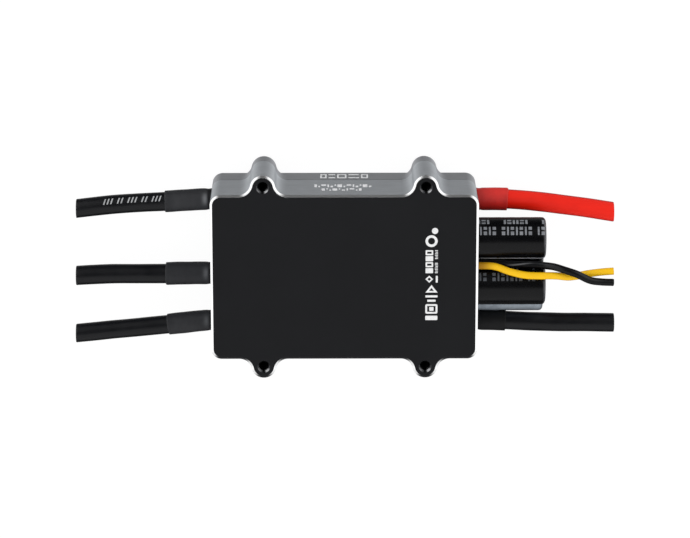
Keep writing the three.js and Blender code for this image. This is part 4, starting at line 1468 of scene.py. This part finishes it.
def build_world():
    """Plain white to the camera, soft light to matt surfaces, panels to glossy ones."""
    sky = Shader("studio", world=True)
    path = sky.node("ShaderNodeLightPath")
    camera, glossy = path.outputs["Is Camera Ray"], path.outputs["Is Glossy Ray"]
    x, y, z = sky.split(sky.node("ShaderNodeTexCoord").outputs["Generated"])
    # a band that starts just past overhead, towards -Y
    lean = sky.math("ARCTAN2", sky.mul(y, -1.0), z)
    band = sky.mul(sky.remap(lean, over=(0.06, 0.26)), 0.43)
    # a faint lift low on the +Y side
    rise = sky.mul(sky.remap(y, over=(0.2, 0.78)), sky.remap(y, over=(1.0, 0.86)))
    base = sky.add(0.036, sky.mul(rise, 0.045))
    boxes = sky.mul(
        side_boxes(sky, x, y, over=(0.25, 0.44)), sky.remap(z, over=(0.95, 0.66)))
    reflected = sky.top(sky.top(base, band), sky.mul(boxes, 1.3))
    diffuse = sky.add(1.08, sky.mul(y, -0.14))
    mixed = sky.add(sky.mul(glossy, reflected), sky.mul(sky.flip(glossy), diffuse))
    total = sky.add(sky.mul(camera, 1.0), sky.mul(sky.flip(camera), mixed))
    background = sky.node("ShaderNodeBackground")
    sky.put(background.inputs["Color"], (1, 1, 1))
    sky.put(background.inputs["Strength"], total)
    sky.surface(background.outputs[0])
    sky.owner.cycles.sampling_method = "NONE"
    scene.world = sky.owner


# reflected brightness of the floor by the ray's Y, from -1 at place 0 to +1 at place 1
FLOOR_LEVELS = [
    (0.0, 0.05), (0.20, 0.08), (0.36, 0.24), (0.41, 0.33), (0.5, 0.76),
    (0.635, 0.46), (0.8, 0.20), (0.92, 0.05), (1.0, 0.03)]


def floor_material():
    """Near white with soft shadows to the camera, and clear to it from below."""
    mat = Shader("pale_floor")
    path = mat.node("ShaderNodeLightPath")
    geometry = mat.node("ShaderNodeNewGeometry")
    x, incoming_y, _ = mat.split(geometry.outputs["Incoming"])
    y = mat.mul(incoming_y, -1.0)
    levels = mat.ramp(
        mat.remap(y, over=(-1, 1), smooth=False), *[(v, v, v) for _, v in FLOOR_LEVELS],
        places=[place for place, _ in FLOOR_LEVELS], mode="EASE")
    glossy = mat.node("ShaderNodeEmission")
    boxes = side_boxes(mat, x, y, over=(0.55, 0.78))
    mat.put(glossy.inputs["Strength"], mat.top(levels, mat.mul(boxes, 1.5)))
    matt = mat.node("ShaderNodeBsdfDiffuse")
    mat.put(matt.inputs["Color"], (0.86, 0.86, 0.86))
    # what the camera sees: mostly its own light, so that shadows stay faint
    shadowed = mat.node("ShaderNodeBsdfDiffuse")
    mat.put(shadowed.inputs["Color"], (0.09, 0.09, 0.091))
    steady = mat.node("ShaderNodeEmission")
    mat.put(steady.inputs["Strength"], 0.945)
    seen = mat.node("ShaderNodeAddShader")
    mat.put(seen.inputs[0], shadowed.outputs[0])
    mat.put(seen.inputs[1], steady.outputs[0])
    clear = mat.node("ShaderNodeBsdfTransparent")
    to_camera = mat.mix_shaders(
        geometry.outputs["Backfacing"], seen.outputs[0], clear.outputs[0])
    to_others = mat.mix_shaders(
        path.outputs["Is Glossy Ray"], matt.outputs[0], glossy.outputs[0])
    mat.surface(mat.mix_shaders(path.outputs["Is Camera Ray"], to_others, to_camera))
    mat.owner.cycles.emission_sampling = "NONE"
    return mat.owner


def build_floor():
    reach, z = 2500.0, -0.3
    corners = [(-reach, -reach, z), (reach, -reach, z), (reach, reach, z), (-reach, reach, z)]
    floor = mesh_object("floor", corners, [(0, 1, 2, 3)], [floor_material()])
    if floor.data.polygons[0].normal.z < 0:
        floor.data.flip_normals()


def set_view():
    scene.view_settings.view_transform = "Standard"
    scene.view_settings.look = "None"
    scene.view_settings.exposure = 0.0
    scene.view_settings.gamma = 1.0


def build_camera():
    """Looks down at the cover's centre, tilted from overhead towards +Y."""
    tilt, yaw, roll = math.radians(15.7845), math.radians(-0.247), math.radians(-0.0421)
    distance = 0.61710
    turn = Matrix.Rotation(yaw, 3, "Y")
    level_right = turn @ Vector((1, 0, 0))
    level_up = turn @ Vector((0, math.cos(tilt), -math.sin(tilt)))
    back = turn @ Vector((0, math.sin(tilt), math.cos(tilt)))
    right = level_right * math.cos(roll) + level_up * math.sin(roll)
    up = level_up * math.cos(roll) - level_right * math.sin(roll)
    data = bpy.data.cameras.new("camera")
    data.sensor_fit = "HORIZONTAL"
    data.sensor_width = 36.0
    data.lens = 169.132174
    data.shift_x = 0.00088942029
    data.shift_y = 0.0127676812
    data.clip_start, data.clip_end = 0.01, 20.0
    camera = bpy.data.objects.new("camera", data)
    scene.collection.objects.link(camera)
    place = Vector((0, 0, HEIGHT * MM)) + back * distance
    axes = Matrix((right, up, back)).transposed().to_4x4()
    camera.matrix_world = Matrix.Translation(place) @ axes
    scene.camera = camera


build_shell()
build_heat_sink()
build_screws()
build_capacitors()
build_leads()
for signal_wire in WIRES:
    build_wire(signal_wire)
build_cover_marks()
build_wall_marks()
dress_inside()
build_world()
build_floor()
set_view()
build_camera()

bpy.context.view_layer.update()
